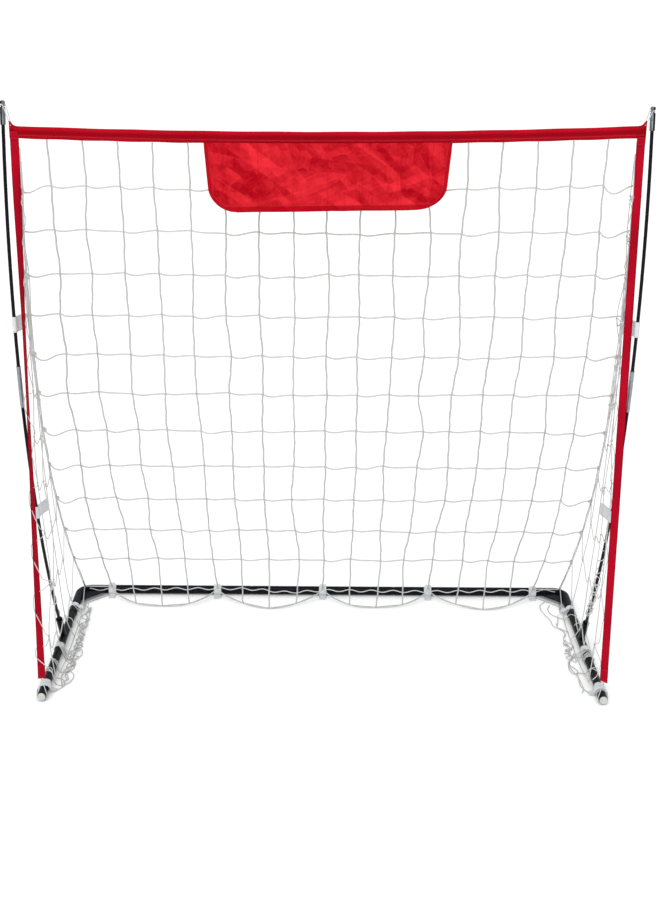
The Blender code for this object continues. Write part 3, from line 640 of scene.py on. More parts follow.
row_runs = []
for row in range(1, NET_ROWS):
    course = []
    for column in range(NET_COLUMNS):
        dip = shake.uniform(0.001, 0.0065)
        if column in (0, NET_COLUMNS - 1):
            dip *= 4.5 if row < 3 else 2.6
        lean = shake.uniform(-0.003, 0.003)
        course += slack_row(knots[column][row], knots[column + 1][row], dip, lean)
    row_runs.append(course + [knots[NET_COLUMNS][row]])
rows = cords("net_rows", row_runs, ROW_RADIUS, row_cord, ["net_rear"])
print("uprights", len(uprights.data.polygons), "faces, rows", len(rows.data.polygons))


# %% Hitches at the crossings
HITCH_RADIUS, HITCH_PITCH = 0.0013, 0.0011


def hitch(centre, way, size):
    """Two tilted turns of cord round an upright that runs along the way."""
    turns = []
    side = way.orthogonal().normalized()
    other = way.cross(side)
    for turn in (-1, 1):
        loop = []
        for step in range(7):
            angle = 2 * math.pi * step / 7
            spot = side * math.cos(angle) + other * math.sin(angle)
            rise = turn * HITCH_PITCH * (1 + math.cos(angle))
            loop.append(centre + spot * size + way * rise)
        turns.append(loop)
    return turns


def tie_hitches(name, loops, finish, stands_for, radius=HITCH_RADIUS):
    """Hitches of one thin cord, all in one mesh."""
    return cords(name, loops, radius, finish, stands_for, closed=True, sides=4)


hitch_loops = []
for column in range(1, NET_COLUMNS):
    for row in range(1, NET_ROWS):
        hitch_loops += hitch(knots[column][row], way_at(knots[column], row), 0.0024)
hitches = tie_hitches("net_hitches", hitch_loops, upright_cord, ["net_rear"])
print("hitch faces", len(hitches.data.polygons))

# %% [markdown]
# ## The hem and the bar lacing
# Between two straps the hem of the net hangs off the bar and lies on the floor
# in front of it, in scallops. It is a doubled cord, tied at each upright. A
# separate white cord winds along the bar itself.

# %% Scalloped hem
def hem_point(u, spread):
    """One strand of the doubled hem; the two spread apart between the uprights."""
    point = rear_net(u, 1.0)
    hang = scallop(u * NET_COLUMNS)
    between = math.sin(math.pi * (u * NET_COLUMNS % 1.0))
    point.y += spread * 0.011 * between * (0.3 + hang)
    point.z += 0.0008 * spread * hang
    return point


hem_runs = []
for spread in (-0.15, 0.55):
    hem_runs.append([hem_point(share, spread) for share in shares(NET_COLUMNS * 8)])
cords("net_hem", hem_runs, 0.0018, spare_cord, ["net_rear"])

hem_knots = []
for column in range(1, NET_COLUMNS):
    if scallop(column) > 0:
        hem_knots += hitch(rear_net(column / NET_COLUMNS, 1.0) + UP * 0.0012, ACROSS, 0.0028)
tie_hitches("net_hem_knots", hem_knots, spare_cord, ["net_rear"], 0.0017)
print("hem strands", len(hem_runs))

# %% White cord along the bar
STRAP_XS = [index * STRAP_EVERY * 2 * NET_FOOT_HALF / NET_COLUMNS for index in (-2, -1, 0, 1, 2)]
LACE_RADIUS, CLEAR = 0.0018, 0.0003
STRAP_ROOM = 0.0125


def bar_lace_point(x):
    """On the front of the bar, wandering up and down its face, lowest left of the middle."""
    low = 34 * math.exp(-((x + 0.13) / 0.10) ** 2)
    angle = math.radians(28 + 13 * math.sin(x * 2 * math.pi / 0.082) - low - 10 * math.sin(x * 5.0))
    reach = MAIN_RADIUS + CLEAR + LACE_RADIUS
    return at(x, BASE_DEPTH - reach * math.cos(angle), AXIS_HEIGHT + reach * math.sin(angle))


lace_runs = []
for left, right in zip(STRAP_XS, STRAP_XS[1:]):
    start, end = left + STRAP_ROOM, right - STRAP_ROOM
    lace_runs.append([bar_lace_point(start + (end - start) * share) for share in shares(40)])
for side in SIDES.values():
    lace_runs.append([bar_lace_point(side * (0.8075 + 0.0725 * share)) for share in shares(20)])
cords("bar_lacing", lace_runs, LACE_RADIUS, white_cord, ["net_rear"])
print("lacing lengths", len(lace_runs))

# %% [markdown]
# ## The side panels
# Each side panel runs from the red webbing back to the seam. It is narrow at
# the top and more than 0.8 m deep at the foot, where the spare net lies on the
# floor inside the tube. Its front edge is laced to the webbing, and on the left
# the cord crosses the webbing's face on a slant in the lower rows.

# %% The webbing's line and the panel's surface
STRIP_WIDTH = 0.025
STRIP_TOP_X = SLEEVE_LENGTH / 2 - 0.0135
STRIP_TOP_Z, STRIP_FOOT_Z = SLEEVE_BOTTOM - 0.0008, 0.078


def strip_centre(side, v):
    """The webbing's middle line, v = 0 at the sleeve and 1 at the foot."""
    x = STRIP_TOP_X + (HALF_WIDTH - 0.002 - STRIP_TOP_X) * v
    return at(side * x, 0.020 - 0.004 * v, STRIP_TOP_Z + (STRIP_FOOT_Z - STRIP_TOP_Z) * v)


def strip_share(z):
    """How far down the webbing a height is."""
    return (STRIP_TOP_Z - z) / (STRIP_TOP_Z - STRIP_FOOT_Z)


TWIST_STEPS = (
    (0.0, 4), (0.08, 24), (0.17, 53), (0.32, 80), (0.45, 84),
    (0.55, 79), (0.65, 68), (0.75, 60), (0.86, 49), (1.0, 34),
)


def strip_turn(side, v):
    """The webbing's turn in radians; the left strap's is read from a few places down it."""
    if side > 0:
        return 0.10 * math.sin(v * 9.0)
    for (above, first), (below, second) in zip(TWIST_STEPS, TWIST_STEPS[1:]):
        if v <= below:
            share = (v - above) / (below - above)
            return math.radians(first + (second - first) * share)
    return math.radians(TWIST_STEPS[-1][1])


def seam_point(side, v):
    """Where the side panel meets the rear net."""
    depth, height = slope_point(v)
    return at(side * half_width(v), depth, height)


def panel_point(side, w, v):
    """The side panel, w = 0 at the webbing and 1 at the seam."""
    front = strip_centre(side, v)
    front.x -= side * (STRIP_WIDTH / 2 + 0.0018)
    seam = seam_point(side, v)
    seam.x += side * 0.004
    share = clamp(3 * w - 1)
    point = front.lerp(seam, w)
    point.x = front.x + (seam.x - front.x) * share ** 2 * (3 - 2 * share)
    belly = math.sin(math.pi * w)
    point.x -= side * 0.016 * belly ** 0.3 * v ** 6
    point.z -= 0.10 * (seam.y - front.y) * belly * (1 - v)
    point.z -= (point.z - HEM_HEIGHT) * belly ** 0.3 * v ** 6
    return point


print("panel foot depth", round(panel_point(1, 1, 1).y - FRONT, 3), "m")

# %% Panel cords
PANEL_SHARES = (0.13, 0.34, 0.56, 0.78, 1.0)
PANEL_LIMIT = 0.899
panel_knots = {}


def make_panel(label, side):
    """One side panel: its uprights, slack rows, foot cord and hitches."""
    table = []
    for share in PANEL_SHARES:
        line = []
        for row in range(NET_ROWS + 1):
            v = 0.02 + 0.98 * row_place(row / NET_ROWS)
            point = panel_point(side, share, v)
            if 0 < row < NET_ROWS and share < 1:
                point += jitter(0.004 + 0.006 * v)
                point.x = side * min(abs(point.x), PANEL_LIMIT)
                point.z = max(point.z, HEM_HEIGHT)
            line.append(point)
        table.append(line)
    panel_knots[label] = table
    runs = [smooth_run(line, 5) for line in table]
    for row in range(1, NET_ROWS):
        course = []
        for first, second in zip(table, table[1:]):
            slack = shake.uniform(0.004, 0.014) + 0.030 * (row / NET_ROWS) ** 3
            course += slack_row(first[row], second[row], slack, 0.0, 7)
        runs.append(course + [table[-1][row]])
    runs.append(smooth_run([line[NET_ROWS] for line in table], 6))
    for run in runs:
        keep_above(run, HEM_HEIGHT)
    cords("side_panel_" + label, runs, 0.0016, row_cord, ["net_side_" + label])
    loops = []
    for line in table[:-1]:
        for row in range(1, NET_ROWS):
            loops += hitch(line[row], way_at(line, row), 0.0026)
    tie_hitches("side_panel_knots_" + label, loops, row_cord, ["net_side_" + label])


for label, side in SIDES.items():
    make_panel(label, side)
print("panels:", list(panel_knots))


# %% Doubled seam cords
def tail_curl(start, side, size, turns=1.6):
    """The cut end of a knot, which springs into a small curl."""
    made = [start]
    for share in shares(13):
        angle = 2 * math.pi * turns * share
        reach = size * (0.45 + 0.55 * share)
        made.append(start + Vector((
            -side * (0.004 + reach * math.sin(angle)), -0.002 * share,
            reach * math.cos(angle) - size * 0.45,
        )))
    return made


SEAM_STEPS = 8


def make_seam(label, side):
    """The rear net's edge cord, the cord that laces the panel to it, and their knots."""
    panel = ["net_side_" + label]
    edge_knots = knots[0 if side < 0 else NET_COLUMNS]
    edge = smooth_run(edge_knots, SEAM_STEPS)
    winding = []
    for index, point in enumerate(edge):
        angle = index * 0.62
        winding.append(point + Vector((math.cos(angle) * 0.0026 + side * 0.001, math.sin(angle) * 0.0026, 0)))
    cords("net_seam_" + label, [edge, winding], 0.0015, spare_cord, ["net_rear"] + panel)
    ties, curls = [], []
    for row in range(1, NET_ROWS):
        spot = edge_knots[row]
        way = way_at(edge, row * SEAM_STEPS)
        for lift in (-0.0035, 0.0, 0.0035):
            ties += hitch(spot + way * lift, way, 0.0042)
        if row in (5, 6, 7, 9, 10):
            curls.append(tail_curl(spot - way * 0.004, side, 0.0065 + 0.001 * (row % 3)))
    tie_hitches("seam_ties_" + label, ties, spare_cord, ["net_rear"] + panel, 0.0014)
    cords("seam_ends_" + label, curls, 0.0014, white_cord, panel)


for label, side in SIDES.items():
    make_seam(label, side)
print("seams tied at", NET_ROWS - 1, "rows on each side")


# %% Lacing round the webbing
# Each place: -1 for the webbing's inner edge, 0 for its middle or 1 for its outer edge,
# the distances outward and back from there, and the share of the way to the next row.
CROSSING = (
    (-1, -0.0080, 0.0120, 0.03), (0, 0.0, 0.0075, 0.05), (1, 0.0040, 0.0040, 0.10),
    (1, 0.0070, -0.0010, 0.22), (1, 0.0035, -0.0065, 0.36), (0, 0.0, -0.0075, 0.50),
    (-1, -0.0030, -0.0060, 0.63), (-1, -0.0120, 0.0040, 0.80),
)
HOOKED = (
    (-1, -0.0070, 0.0100, 0.08), (-1, -0.0020, 0.0040, 0.22), (-1, 0.0010, 0.0045, 0.36),
    (-1, -0.0035, -0.0010, 0.44), (-1, -0.0045, 0.0030, 0.58), (-1, -0.0085, 0.0080, 0.80),
)


def lace_round_strip(label, side, crossings):
    """From knot to knot of the panel's first upright, hooked to the webbing in each row."""
    first = panel_knots[label][0]
    points = [first[1]]
    for row in range(1, NET_ROWS):
        here, below = first[row], first[row + 1]
        gap = below.z - here.z if row < NET_ROWS - 1 else -0.10
        v = min(strip_share(here.z), 0.97)
        centre = strip_centre(side, v)
        half = STRIP_WIDTH / 2 * max(0.35, abs(math.cos(strip_turn(side, v))))

        def beside(edge, off, back, down):
            spot = centre + Vector((side * (edge * half + off), back, 0))
            spot.z = here.z + gap * down
            return spot

        points += [beside(*place) for place in (CROSSING if row in crossings else HOOKED)]
        points.append(below if row < NET_ROWS - 1 else beside(-1, -0.020, 0.012, 0.95))
    cords("strip_lacing_" + label, [smooth_run(points, 4)], 0.0015, white_cord, ["net_side_" + label])


lace_round_strip("left", -1, (6, 8, 9, 10, 11))
lace_round_strip("right", 1, ())
print("lacing on both strips")

# %% [markdown]
# ## Spare net on the floor
# The foot of each panel has more net than the frame needs. It lies beside the
# tube as a loose bundle of crossing cords, with knots where they meet, and a
# few cords are slung over the tube or wound round it. A cord's height comes
# from what is below it, the floor or the tube.

# %% Cords that lie on the floor and over the tube
CORD = 0.0016
CORD_REACH = SIDE_RADIUS + CORD + 0.0004
BUNDLE_X, BUNDLE_LIMIT = 0.866, 0.8925


def resting_height(x, extra=0.0):
    """How high a cord lies at a distance x from the middle: on the floor or on the side tube."""
    aside = abs(abs(x) - HALF_WIDTH)
    if aside < CORD_REACH:
        return AXIS_HEIGHT + math.sqrt(CORD_REACH ** 2 - aside ** 2) + extra
    leaning = max(0.0, 1.0 - (aside - CORD_REACH) / 0.012)
    return CORD + 0.0006 + extra + (AXIS_HEIGHT - CORD) * leaning ** 1.5


def bundle_strand(side, start, end, phase, swing, wave, seed):
    """One cord of the bundle, swinging from side to side as it goes forward."""
    own = random.Random(seed)
    lift_phase, slow = own.uniform(0, 6), own.uniform(0, 6)
    waves = abs(end - start) / wave
    course = []
    for t in shares(int(waves * 12)):
        turn = phase + t * waves * 2 * math.pi
        size = swing * (0.65 + 0.35 * math.sin(t * 11 + slow))
        x = BUNDLE_X - 0.010 * math.sin(math.pi * t) + 0.006 * math.sin(t * 8 + slow) + size * math.sin(turn)
        x = min(x, BUNDLE_LIMIT)
        depth = start + (end - start) * t + size * 0.55 * math.cos(turn + 0.6)
        extra = 0.0055 * (1 + math.sin(turn * 0.5 + lift_phase))
        course.append(at(side * x, depth, resting_height(x, extra)))
    return course


def slung(side, route, extra=0.0):
    """A cord along a route of distances and depths, lying on whatever is under it."""
    course = []
    for point in smooth_run([Vector((x, depth, 0.0)) for x, depth in route], 6):
        course.append(at(side * point.x, point.y, resting_height(point.x, extra)))
    return course


def wound(side, start, end, turns, seed):
    """A cord wound unevenly round the side tube."""
    own = random.Random(seed)
    phase = own.uniform(0, 6)
    course = []
    for t in shares(int(turns * 12)):
        angle = phase + 2 * math.pi * turns * t
        reach = CORD_REACH + 0.0012 * (1 + math.sin(angle * 0.37 + seed))
        depth = start + (end - start) * t + 0.008 * math.sin(angle * 0.5 + seed)
        x = HALF_WIDTH + reach * math.cos(angle)
        course.append(at(side * x, depth, max(AXIS_HEIGHT + reach * math.sin(angle), CORD)))
    return course


print("a cord on the tube lies at", round(resting_height(HALF_WIDTH), 4), "m")

# %% The two heaps
def lay_heap(label, side, bundles, routes, windings):
    """The loose net beside one tube: crossing bundles, slung cords, windings and their knots."""
    panel = ["net_side_" + label]
    runs = [bundle_strand(side, *numbers) for numbers in bundles]
    ties = []
    for run in runs:
        for index in range(6, len(run) - 6, 9):
            ties += hitch(run[index], way_at(run, index), 0.0026)
    runs += [slung(side, route, 0.0012 * (index % 3)) for index, route in enumerate(routes)]
    for numbers in windings:
        run = wound(side, *numbers)
        runs.append(run)
        for index in range(3, len(run) - 2, 5):
            ties += hitch(run[index], way_at(run, index), 0.0024)
    cords("floor_net_" + label, runs, CORD, spare_cord, panel)
    for loop in ties:
        keep_above(loop, CORD)
    tie_hitches("floor_knots_" + label, ties, spare_cord, panel)
    print("cords on the floor,", label, len(runs))


# Each bundle: the depths it runs between, phase, swing, wave and seed. Each route:
# places from the middle and depths. Each winding: its depths, turns and seed.
gusset_cord = [(0.808, 0.838), (0.822, 0.826), (0.842, 0.806), (0.862, 0.785), (0.878, 0.766), (0.888, 0.742)]
corner_tie = [(0.893, 0.800), (0.884, 0.776), (0.889, 0.752), (0.880, 0.735), (0.888, 0.722), (0.878, 0.712)]
lay_heap(
    "left", -1,
    [
        (0.735, 0.10, 0.3, 0.012, 0.105, 3), (0.735, 0.10, 2.2, 0.014, 0.098, 4),
        (0.72, 0.13, 4.1, 0.013, 0.112, 5), (0.70, 0.20, 5.4, 0.016, 0.090, 6),
        (0.60, 0.30, 1.2, 0.018, 0.080, 7),
    ],
    [
        gusset_cord, corner_tie,
        [(0.926, 0.372), (0.908, 0.352), (0.893, 0.332), (0.880, 0.308), (0.866, 0.288), (0.846, 0.280)],
        [(0.928, 0.366), (0.910, 0.345), (0.896, 0.326), (0.883, 0.300), (0.872, 0.280), (0.856, 0.262)],
        [(0.924, 0.378), (0.904, 0.358), (0.888, 0.340), (0.874, 0.318), (0.858, 0.305), (0.842, 0.310)],
        [(0.872, 0.400), (0.842, 0.375), (0.834, 0.335), (0.852, 0.300), (0.880, 0.305),
         (0.905, 0.330), (0.921, 0.350)],
        [(0.878, 0.300), (0.852, 0.275), (0.846, 0.235), (0.868, 0.205), (0.898, 0.215),
         (0.918, 0.245), (0.926, 0.275)],
        [(0.860, 0.220), (0.838, 0.185), (0.842, 0.135), (0.868, 0.110), (0.896, 0.130),
         (0.908, 0.170), (0.930, 0.185)],
        [(0.888, 0.16), (0.866, 0.145), (0.858, 0.105), (0.878, 0.075), (0.902, 0.060), (0.924, 0.072)],
    ],
    [(0.24, 0.13, 1.6, 1), (0.60, 0.53, 0.9, 2)],
)
lay_heap(
    "right", 1,
    [
        (0.66, 0.36, 0.8, 0.010, 0.120, 13), (0.46, 0.30, 2.9, 0.015, 0.060, 14),
        (0.45, 0.31, 4.6, 0.016, 0.052, 15), (0.36, 0.08, 1.4, 0.010, 0.120, 16),
    ],
    [
        gusset_cord, corner_tie,
        [(0.836, 0.800), (0.812, 0.760), (0.816, 0.700), (0.832, 0.640), (0.838, 0.585),
         (0.860, 0.565), (0.884, 0.535)],
        [(0.850, 0.770), (0.838, 0.735), (0.846, 0.690), (0.872, 0.660), (0.896, 0.640),
         (0.921, 0.610), (0.928, 0.580)],
        [(0.872, 0.335), (0.846, 0.300), (0.850, 0.245), (0.864, 0.190), (0.860, 0.130),
         (0.878, 0.085), (0.900, 0.050)],
        [(0.884, 0.350), (0.862, 0.330), (0.842, 0.270), (0.848, 0.215), (0.872, 0.220),
         (0.902, 0.200), (0.926, 0.170)],
    ],
    [
        (0.345, 0.285, 3.2, 11), (0.338, 0.272, 2.6, 17), (0.330, 0.290, 2.2, 18), (0.61, 0.54, 0.9, 12),
        (0.20, 0.16, 0.8, 14), (0.066, 0.034, 2.2, 13), (0.070, 0.036, 1.7, 19),
    ],
)

# %% [markdown]
# ## The header sleeve
# The sleeve is one piece of cloth folded over the net's head rope and sewn
# below it. That gives a round tunnel on top, a flat band under it and a crease
# between them. A drawn section is carried along the sagging line of the
# crossbar, with small puckers at the seam, and its corners rise to the point
# where the cords of the pole tips pull. The cloth's wall is added inside it.

# %% Sleeve section carried along the crossbar
SLEEVE_SECTION = (
    (0.0000, 0.0175), (0.0026, 0.0168), (0.0042, 0.0135), (0.0045, 0.0080), (0.0040, 0.0010),
    (0.0024, -0.0045), (0.0021, -0.0080), (0.0026, -0.0130), (0.0018, -0.0172), (0.0000, -0.0175),
)
section = list(SLEEVE_SECTION)
section += [(-depth, height) for depth, height in SLEEVE_SECTION[-2:0:-1]]


def sleeve_point(u, turn):
    """A corner of the section, carried to the share u of the sleeve's length."""
    x = (u - 0.5) * SLEEVE_LENGTH
    depth, height = section[turn % len(section)]
    rope = height > -0.003
    pucker = math.sin(x * 2 * math.pi / 0.021 + 2 * math.sin(x * 23)) * math.sin(x * 61)
    depth *= 1.0 + (0.05 if rope else 0.30) * pucker
    height += 0.0005 * math.sin(x * 47) if height < -0.016 else 0.0004 * math.sin(x * 31)
    corner = math.exp(-(max(0.0, 0.912 - abs(x)) / 0.007) ** 1.5)
    gather = math.exp(-((0.915 - abs(x)) / 0.035) ** 2)
    depth += 0.0016 * gather * math.sin(height * 420 + abs(x) * 260) * (-1 if depth < 0 else 1)
    height += 0.0150 * corner * max(0.0, height / 0.0175)
    depth *= 1.0 - 0.6 * corner
    return at(x, SLEEVE_DEPTH + depth, SLEEVE_HEIGHT + height - sleeve_drop(x))


count = len(section)
sleeve = cloth_grid(
    "sewn_sleeve", 300, count, lambda u, v: sleeve_point(u, round(v * count)), SLEEVE_LENGTH, 0.078
)
# The grid's long edges are joined, and the ends of the tunnel closed.
select_only(sleeve)
bpy.ops.object.mode_set(mode="EDIT")
bpy.ops.mesh.select_all(action="SELECT")
bpy.ops.mesh.remove_doubles(threshold=0.00002)
bpy.ops.mesh.select_all(action="DESELECT")
bpy.ops.mesh.select_non_manifold()
bpy.ops.mesh.fill_holes(sides=0)
bpy.ops.mesh.select_all(action="SELECT")
bpy.ops.mesh.normals_make_consistent(inside=False)
bpy.ops.object.mode_set(mode="OBJECT")
CLOTH_THICKNESS = 0.0006
thicken(sleeve, CLOTH_THICKNESS, offset=-1.0)
finish_piece(sleeve, red_sleeve, ["header_sleeve"])
print("sleeve faces", len(sleeve.data.polygons))

# %% Stitches along the sleeve
seam_lines = []
for face in (-1, 1):
    line = []
    for share in shares(240):
        x = (share - 0.5) * (SLEEVE_LENGTH - 0.012)
        line.append(at(x, SLEEVE_DEPTH + face * 0.0026, SLEEVE_HEIGHT - 0.0078 - sleeve_drop(x)))
    seam_lines += stitch_runs(line, BACK * face)
cords("sleeve_stitches", seam_lines, 0.00045, thread_look, sides=4)
print("stitches", len(seam_lines))

# %% [markdown]
# ## The banner
# The banner is a thin satin flap sewn under the sleeve. Its sides slope in a
# little, its lower corners are cut round, and a hem runs round three sides.
# Folded and packed away it gets sharp creases, so the sheet has long folds and
# shallow facets. Its colour holds painted shade and highlight: facets that face
# up or left and the crease ridges are lighter, the rest darker.

# %% Outline of the banner
BANNER_WIDTH, BANNER_HEIGHT = 0.717, 0.203
CORNER_HEIGHT, CORNER_WIDTH, SIDE_SLOPE = 0.072, 0.080, 0.018
HEM_SIDE, HEM_FOOT = 0.011, 0.017


def banner_half(v):
    """Half the banner's width at a share of its height."""
    below = max(0.0, v * BANNER_HEIGHT - (BANNER_HEIGHT - CORNER_HEIGHT)) / CORNER_HEIGHT
    cut = CORNER_WIDTH * (1.0 - math.sqrt(max(0.0, 1.0 - below ** 2)))
    return BANNER_WIDTH / 2 - SIDE_SLOPE * v - cut


def hem_share(x, down):
    """1 on the doubled hem at the sides and foot, 0 inside it."""
    from_side = banner_half(min(1.0, down / BANNER_HEIGHT)) - abs(x)
    near = min(from_side / HEM_SIDE, (BANNER_HEIGHT - down) / HEM_FOOT)
    return 1.0 - clamp((near - 0.9) / 0.2)


print("banner foot", round(2 * banner_half(1.0), 3), "m wide")

# %% Its creases
FOLD_DEPTH, CRUMPLE_MIDDLE = 0.0024, 0.0066
CRUMPLES = ((0.0058, 0.125, 3.3), (0.0034, 0.058, 7.8), (0.0013, 0.025, 11.2))  # depth, size, seed
# Each fold: its middle across and down, angle, half length, half breadth and push.
HAND_FOLDS = (
    (-0.29, 0.035, 12, 0.10, 0.030, 0.9), (-0.20, 0.085, -38, 0.09, 0.026, -1.0),
    (-0.26, 0.140, 34, 0.08, 0.026, 0.9), (-0.12, 0.150, -15, 0.11, 0.028, 0.7),
    (0.02, 0.050, 8, 0.12, 0.028, -0.8), (0.06, 0.130, -28, 0.10, 0.030, 0.9),
    (0.17, 0.060, 40, 0.09, 0.026, 0.9), (0.21, 0.140, -12, 0.10, 0.028, -0.9),
    (0.29, 0.075, 62, 0.08, 0.026, 1.0), (0.27, 0.150, 30, 0.07, 0.022, -0.7),
)


def crumple(x, down, size, seed):
    """Flat triangles between random corner heights, as crushed cloth has, from 0 to 1."""
    bend = 0.22 * noise.noise(Vector((x / size * 0.6, down / size * 0.6, seed)))
    across = (x * math.cos(seed) + down * math.sin(seed)) / size + bend
    along = (down * math.cos(seed) - x * math.sin(seed)) / (size * 0.72) - bend
    across -= along * 0.42
    i, j = math.floor(across), math.floor(along)
    s, t = across - i, along - j
    height = {}
    for a, b in ((0, 0), (0, 1), (1, 0), (1, 1)):
        height[a, b] = noise.cell(Vector((i + a + 0.5, j + b + 0.5, seed)))
    if s + t < 1.0:
        return height[0, 0] * (1 - s - t) + height[1, 0] * s + height[0, 1] * t
    return height[1, 1] * (s + t - 1) + height[0, 1] * (1 - s) + height[1, 0] * (1 - t)


def creases(x, down):
    """Long folds, given one by one, then finer crumples."""
    depth = 0.0
    for middle_x, middle_down, angle, reach, breadth, push in HAND_FOLDS:
        dx, dy = math.cos(math.radians(angle)), math.sin(math.radians(angle))
        along = (x - middle_x) * dx + (down - middle_down) * dy
        across = (x - middle_x) * -dy + (down - middle_down) * dx
        fade = max(0.0, 1.0 - (along / reach) ** 2) * max(0.0, 1.0 - abs(across) / breadth)
        depth += push * fade * FOLD_DEPTH
    for height, size, seed in CRUMPLES:
        depth += height * crumple(x, down, size, seed)
    return depth - CRUMPLE_MIDDLE


def crease_depth(x, down):
    """The creases, fading out at the sewn top edge and kept clear of the net."""
    return clamp(creases(x, down), -0.0095, 0.0065) * clamp(down / 0.025)


def painted_crease_light(x, down, reach=0.002):
    """Painted shade and highlight on the satin: lighter where the creases face up or left and on their
    ridges, darker in their valleys.
    """
    above, below = creases(x, down - reach), creases(x, down + reach)
    left, right = creases(x - reach, down), creases(x + reach, down)
    facing = (above - below) * 560 + (right - left) * 360
    ridge = (above + below + left + right - 4 * creases(x, down)) * 1000
    return clamp(0.36 + facing + ridge)


print("long folds", len(HAND_FOLDS), "crumple sizes", len(CRUMPLES))

# %% Banner sheet
hinge = at(0.0, 0.0146, SLEEVE_BOTTOM - SLEEVE_SAG + 0.0028)
ROOM_SLOPE, ROOM_START = 0.26, 0.0013
FOOT_RISE, FOOT_SKEW = 0.0085, 0.0125


def banner_spot(x, down, out):
    """A point of the banner, its top edge following the sleeve's sag and tilt.

    Near the top the creases leave room for the sleeve when the banner is swung up.
    The foot is drawn up by the creases, more at the right.
    """
    share = 2 * x / SLEEVE_LENGTH
    follow = SLEEVE_TILT * share + SLEEVE_SAG * share ** 2 * (1 - down / BANNER_HEIGHT)
    room = max(0.0, ROOM_SLOPE * (down - follow) - ROOM_START)
    follow += (FOOT_RISE + FOOT_SKEW * x) * down / BANNER_HEIGHT
    return hinge + Vector((x, max(crease_depth(x, down), -room) - out, follow - down))


laid = []


def banner_point(u, v):
    x, down = (2 * u - 1) * banner_half(v), v * BANNER_HEIGHT
    laid.append((x, down))
    return banner_spot(x, down, 0.0004)


banner = cloth_grid("satin_banner", 280, 86, banner_point, BANNER_WIDTH, BANNER_HEIGHT)
hem_mask = banner.data.attributes.new("hem", "FLOAT", "POINT")
# Painted shade and highlight from the creases, kept on each point for the satin's colour.
painted_facet_light_layer = banner.data.attributes.new("painted_facet_light", "FLOAT", "POINT")
for corner, (x, down), hem, painted_facet_light in zip(banner.data.vertices, laid, hem_mask.data, painted_facet_light_layer.data):
    painted_facet_light.value = painted_crease_light(x, down)
    hem.value = hem_share(x, down)
    corner.co.y -= 0.0007 * hem.value
thicken(banner, 0.0009)
finish_piece(banner, banner_satin, ["header_banner"], body="banner")
print("banner faces", len(banner.data.polygons))

# %% Hem stitches
def hem_line(inset_side, inset_foot):
    """Down one side, along the foot and up the other, set in from the edges."""
    top, low = 0.01, 1 - inset_foot / BANNER_HEIGHT
    line = []
    for share in shares(59):
        v = top + (low - top) * share
        line.append((inset_side - banner_half(v), v))
    last = line[-1]
    foot = [(last[0] * (1 - 2 * step / 60), last[1]) for step in range(1, 60)]
    return line + foot + [(-x, v) for x, v in reversed(line)]


hem_points = []
for x, v in hem_line(0.0115, 0.0185):
    hem_points.append(banner_spot(x, v * BANNER_HEIGHT, 0.0014))
cords(
    "banner_stitches", stitch_runs(hem_points, -BACK), 0.00035, thread_look,
    body="banner", sides=4,
)
print("hem stitches", len(hem_points))

# %% [markdown]
# ## The red webbing of the front edges
# A strap of webbing hangs from each end of the sleeve and is tied down to the
# tube by elastic. The right one hangs flat. The left one is turned nearly
# edge-on in the middle of its height, and turns part of the way back below.

# %% Front strips
def cut_slant(side, u, v):
    """How far the cut end of the webbing slopes down, more on the right strap."""
    return (0.012 if side > 0 else 0.004) * (0.5 - u) * max(0.0, (v - 0.95) / 0.05)


def strip_point(side, u, v):
    """A point of the webbing, turned with it and a little cupped."""
    centre = strip_centre(side, v)
    turn = strip_turn(side, v)
    off = (u - 0.5) * STRIP_WIDTH
    cup = 0.0005 * math.cos((u - 0.5) * math.pi)
    return centre + Vector((
        off * math.cos(turn) + cup * math.sin(turn), off * math.sin(turn) - cup * math.cos(turn),
        cut_slant(side, u, v),
    ))


for label, side in SIDES.items():
    length = STRIP_TOP_Z - STRIP_FOOT_Z
    strip = cloth_grid(
        "red_strip_" + label, 6, 260, lambda u, v: strip_point(side, u, v), STRIP_WIDTH, length
    )
    thicken(strip, 0.0014)
    finish_piece(strip, red_webbing, ["front_strip_" + label])
    print("strip", label, "faces", len(strip.data.polygons))


# %% Sewn ends of the strips
def patch(name, label, side, low, high, out_at):
    """A folded-back end of webbing, sewn in front of what it holds."""
    def surface(u, v):
        z = high + (low - high) * v
        spread = strip_share(z)
        centre, turn = strip_centre(side, clamp(spread)), strip_turn(side, clamp(spread))
        out = out_at(v) + 0.0006 * math.sin(math.pi * v) * math.sin(math.pi * u)
        off = (u - 0.5) * STRIP_WIDTH
        z += cut_slant(side, u, spread)
        return Vector((
            centre.x + off * math.cos(turn) + out * math.sin(turn),
            centre.y + off * math.sin(turn) - out * math.cos(turn), z,
        ))

    piece = cloth_grid(name + label, 6, 16, surface, STRIP_WIDTH, high - low)
    thicken(piece, 0.0013)
    finish_piece(piece, red_webbing)
    lines = [[surface(0.1 + 0.8 * share, v) for share in shares(12)] for v in (0.12, 0.88)]
    lines += [[surface(u, 0.12 + 0.76 * share) for share in shares(12)] for u in (0.1, 0.9)]
    thread_runs = []
    for line in lines:
        thread_runs += stitch_runs([point - BACK * 0.0008 for point in line], -BACK)
    cords(name + "stitches_" + label, thread_runs, 0.0003, thread_look, sides=4)


for label, side in SIDES.items():
    low, high = STRIP_TOP_Z - 0.012, SLEEVE_BOTTOM + 0.012
    patch("strip_top_", label, side, low, high, lambda v: 0.0042 - 0.0023 * v)
    patch("strip_foot_", label, side, 0.080, 0.128, lambda v: 0.0017)
print("sewn ends done")

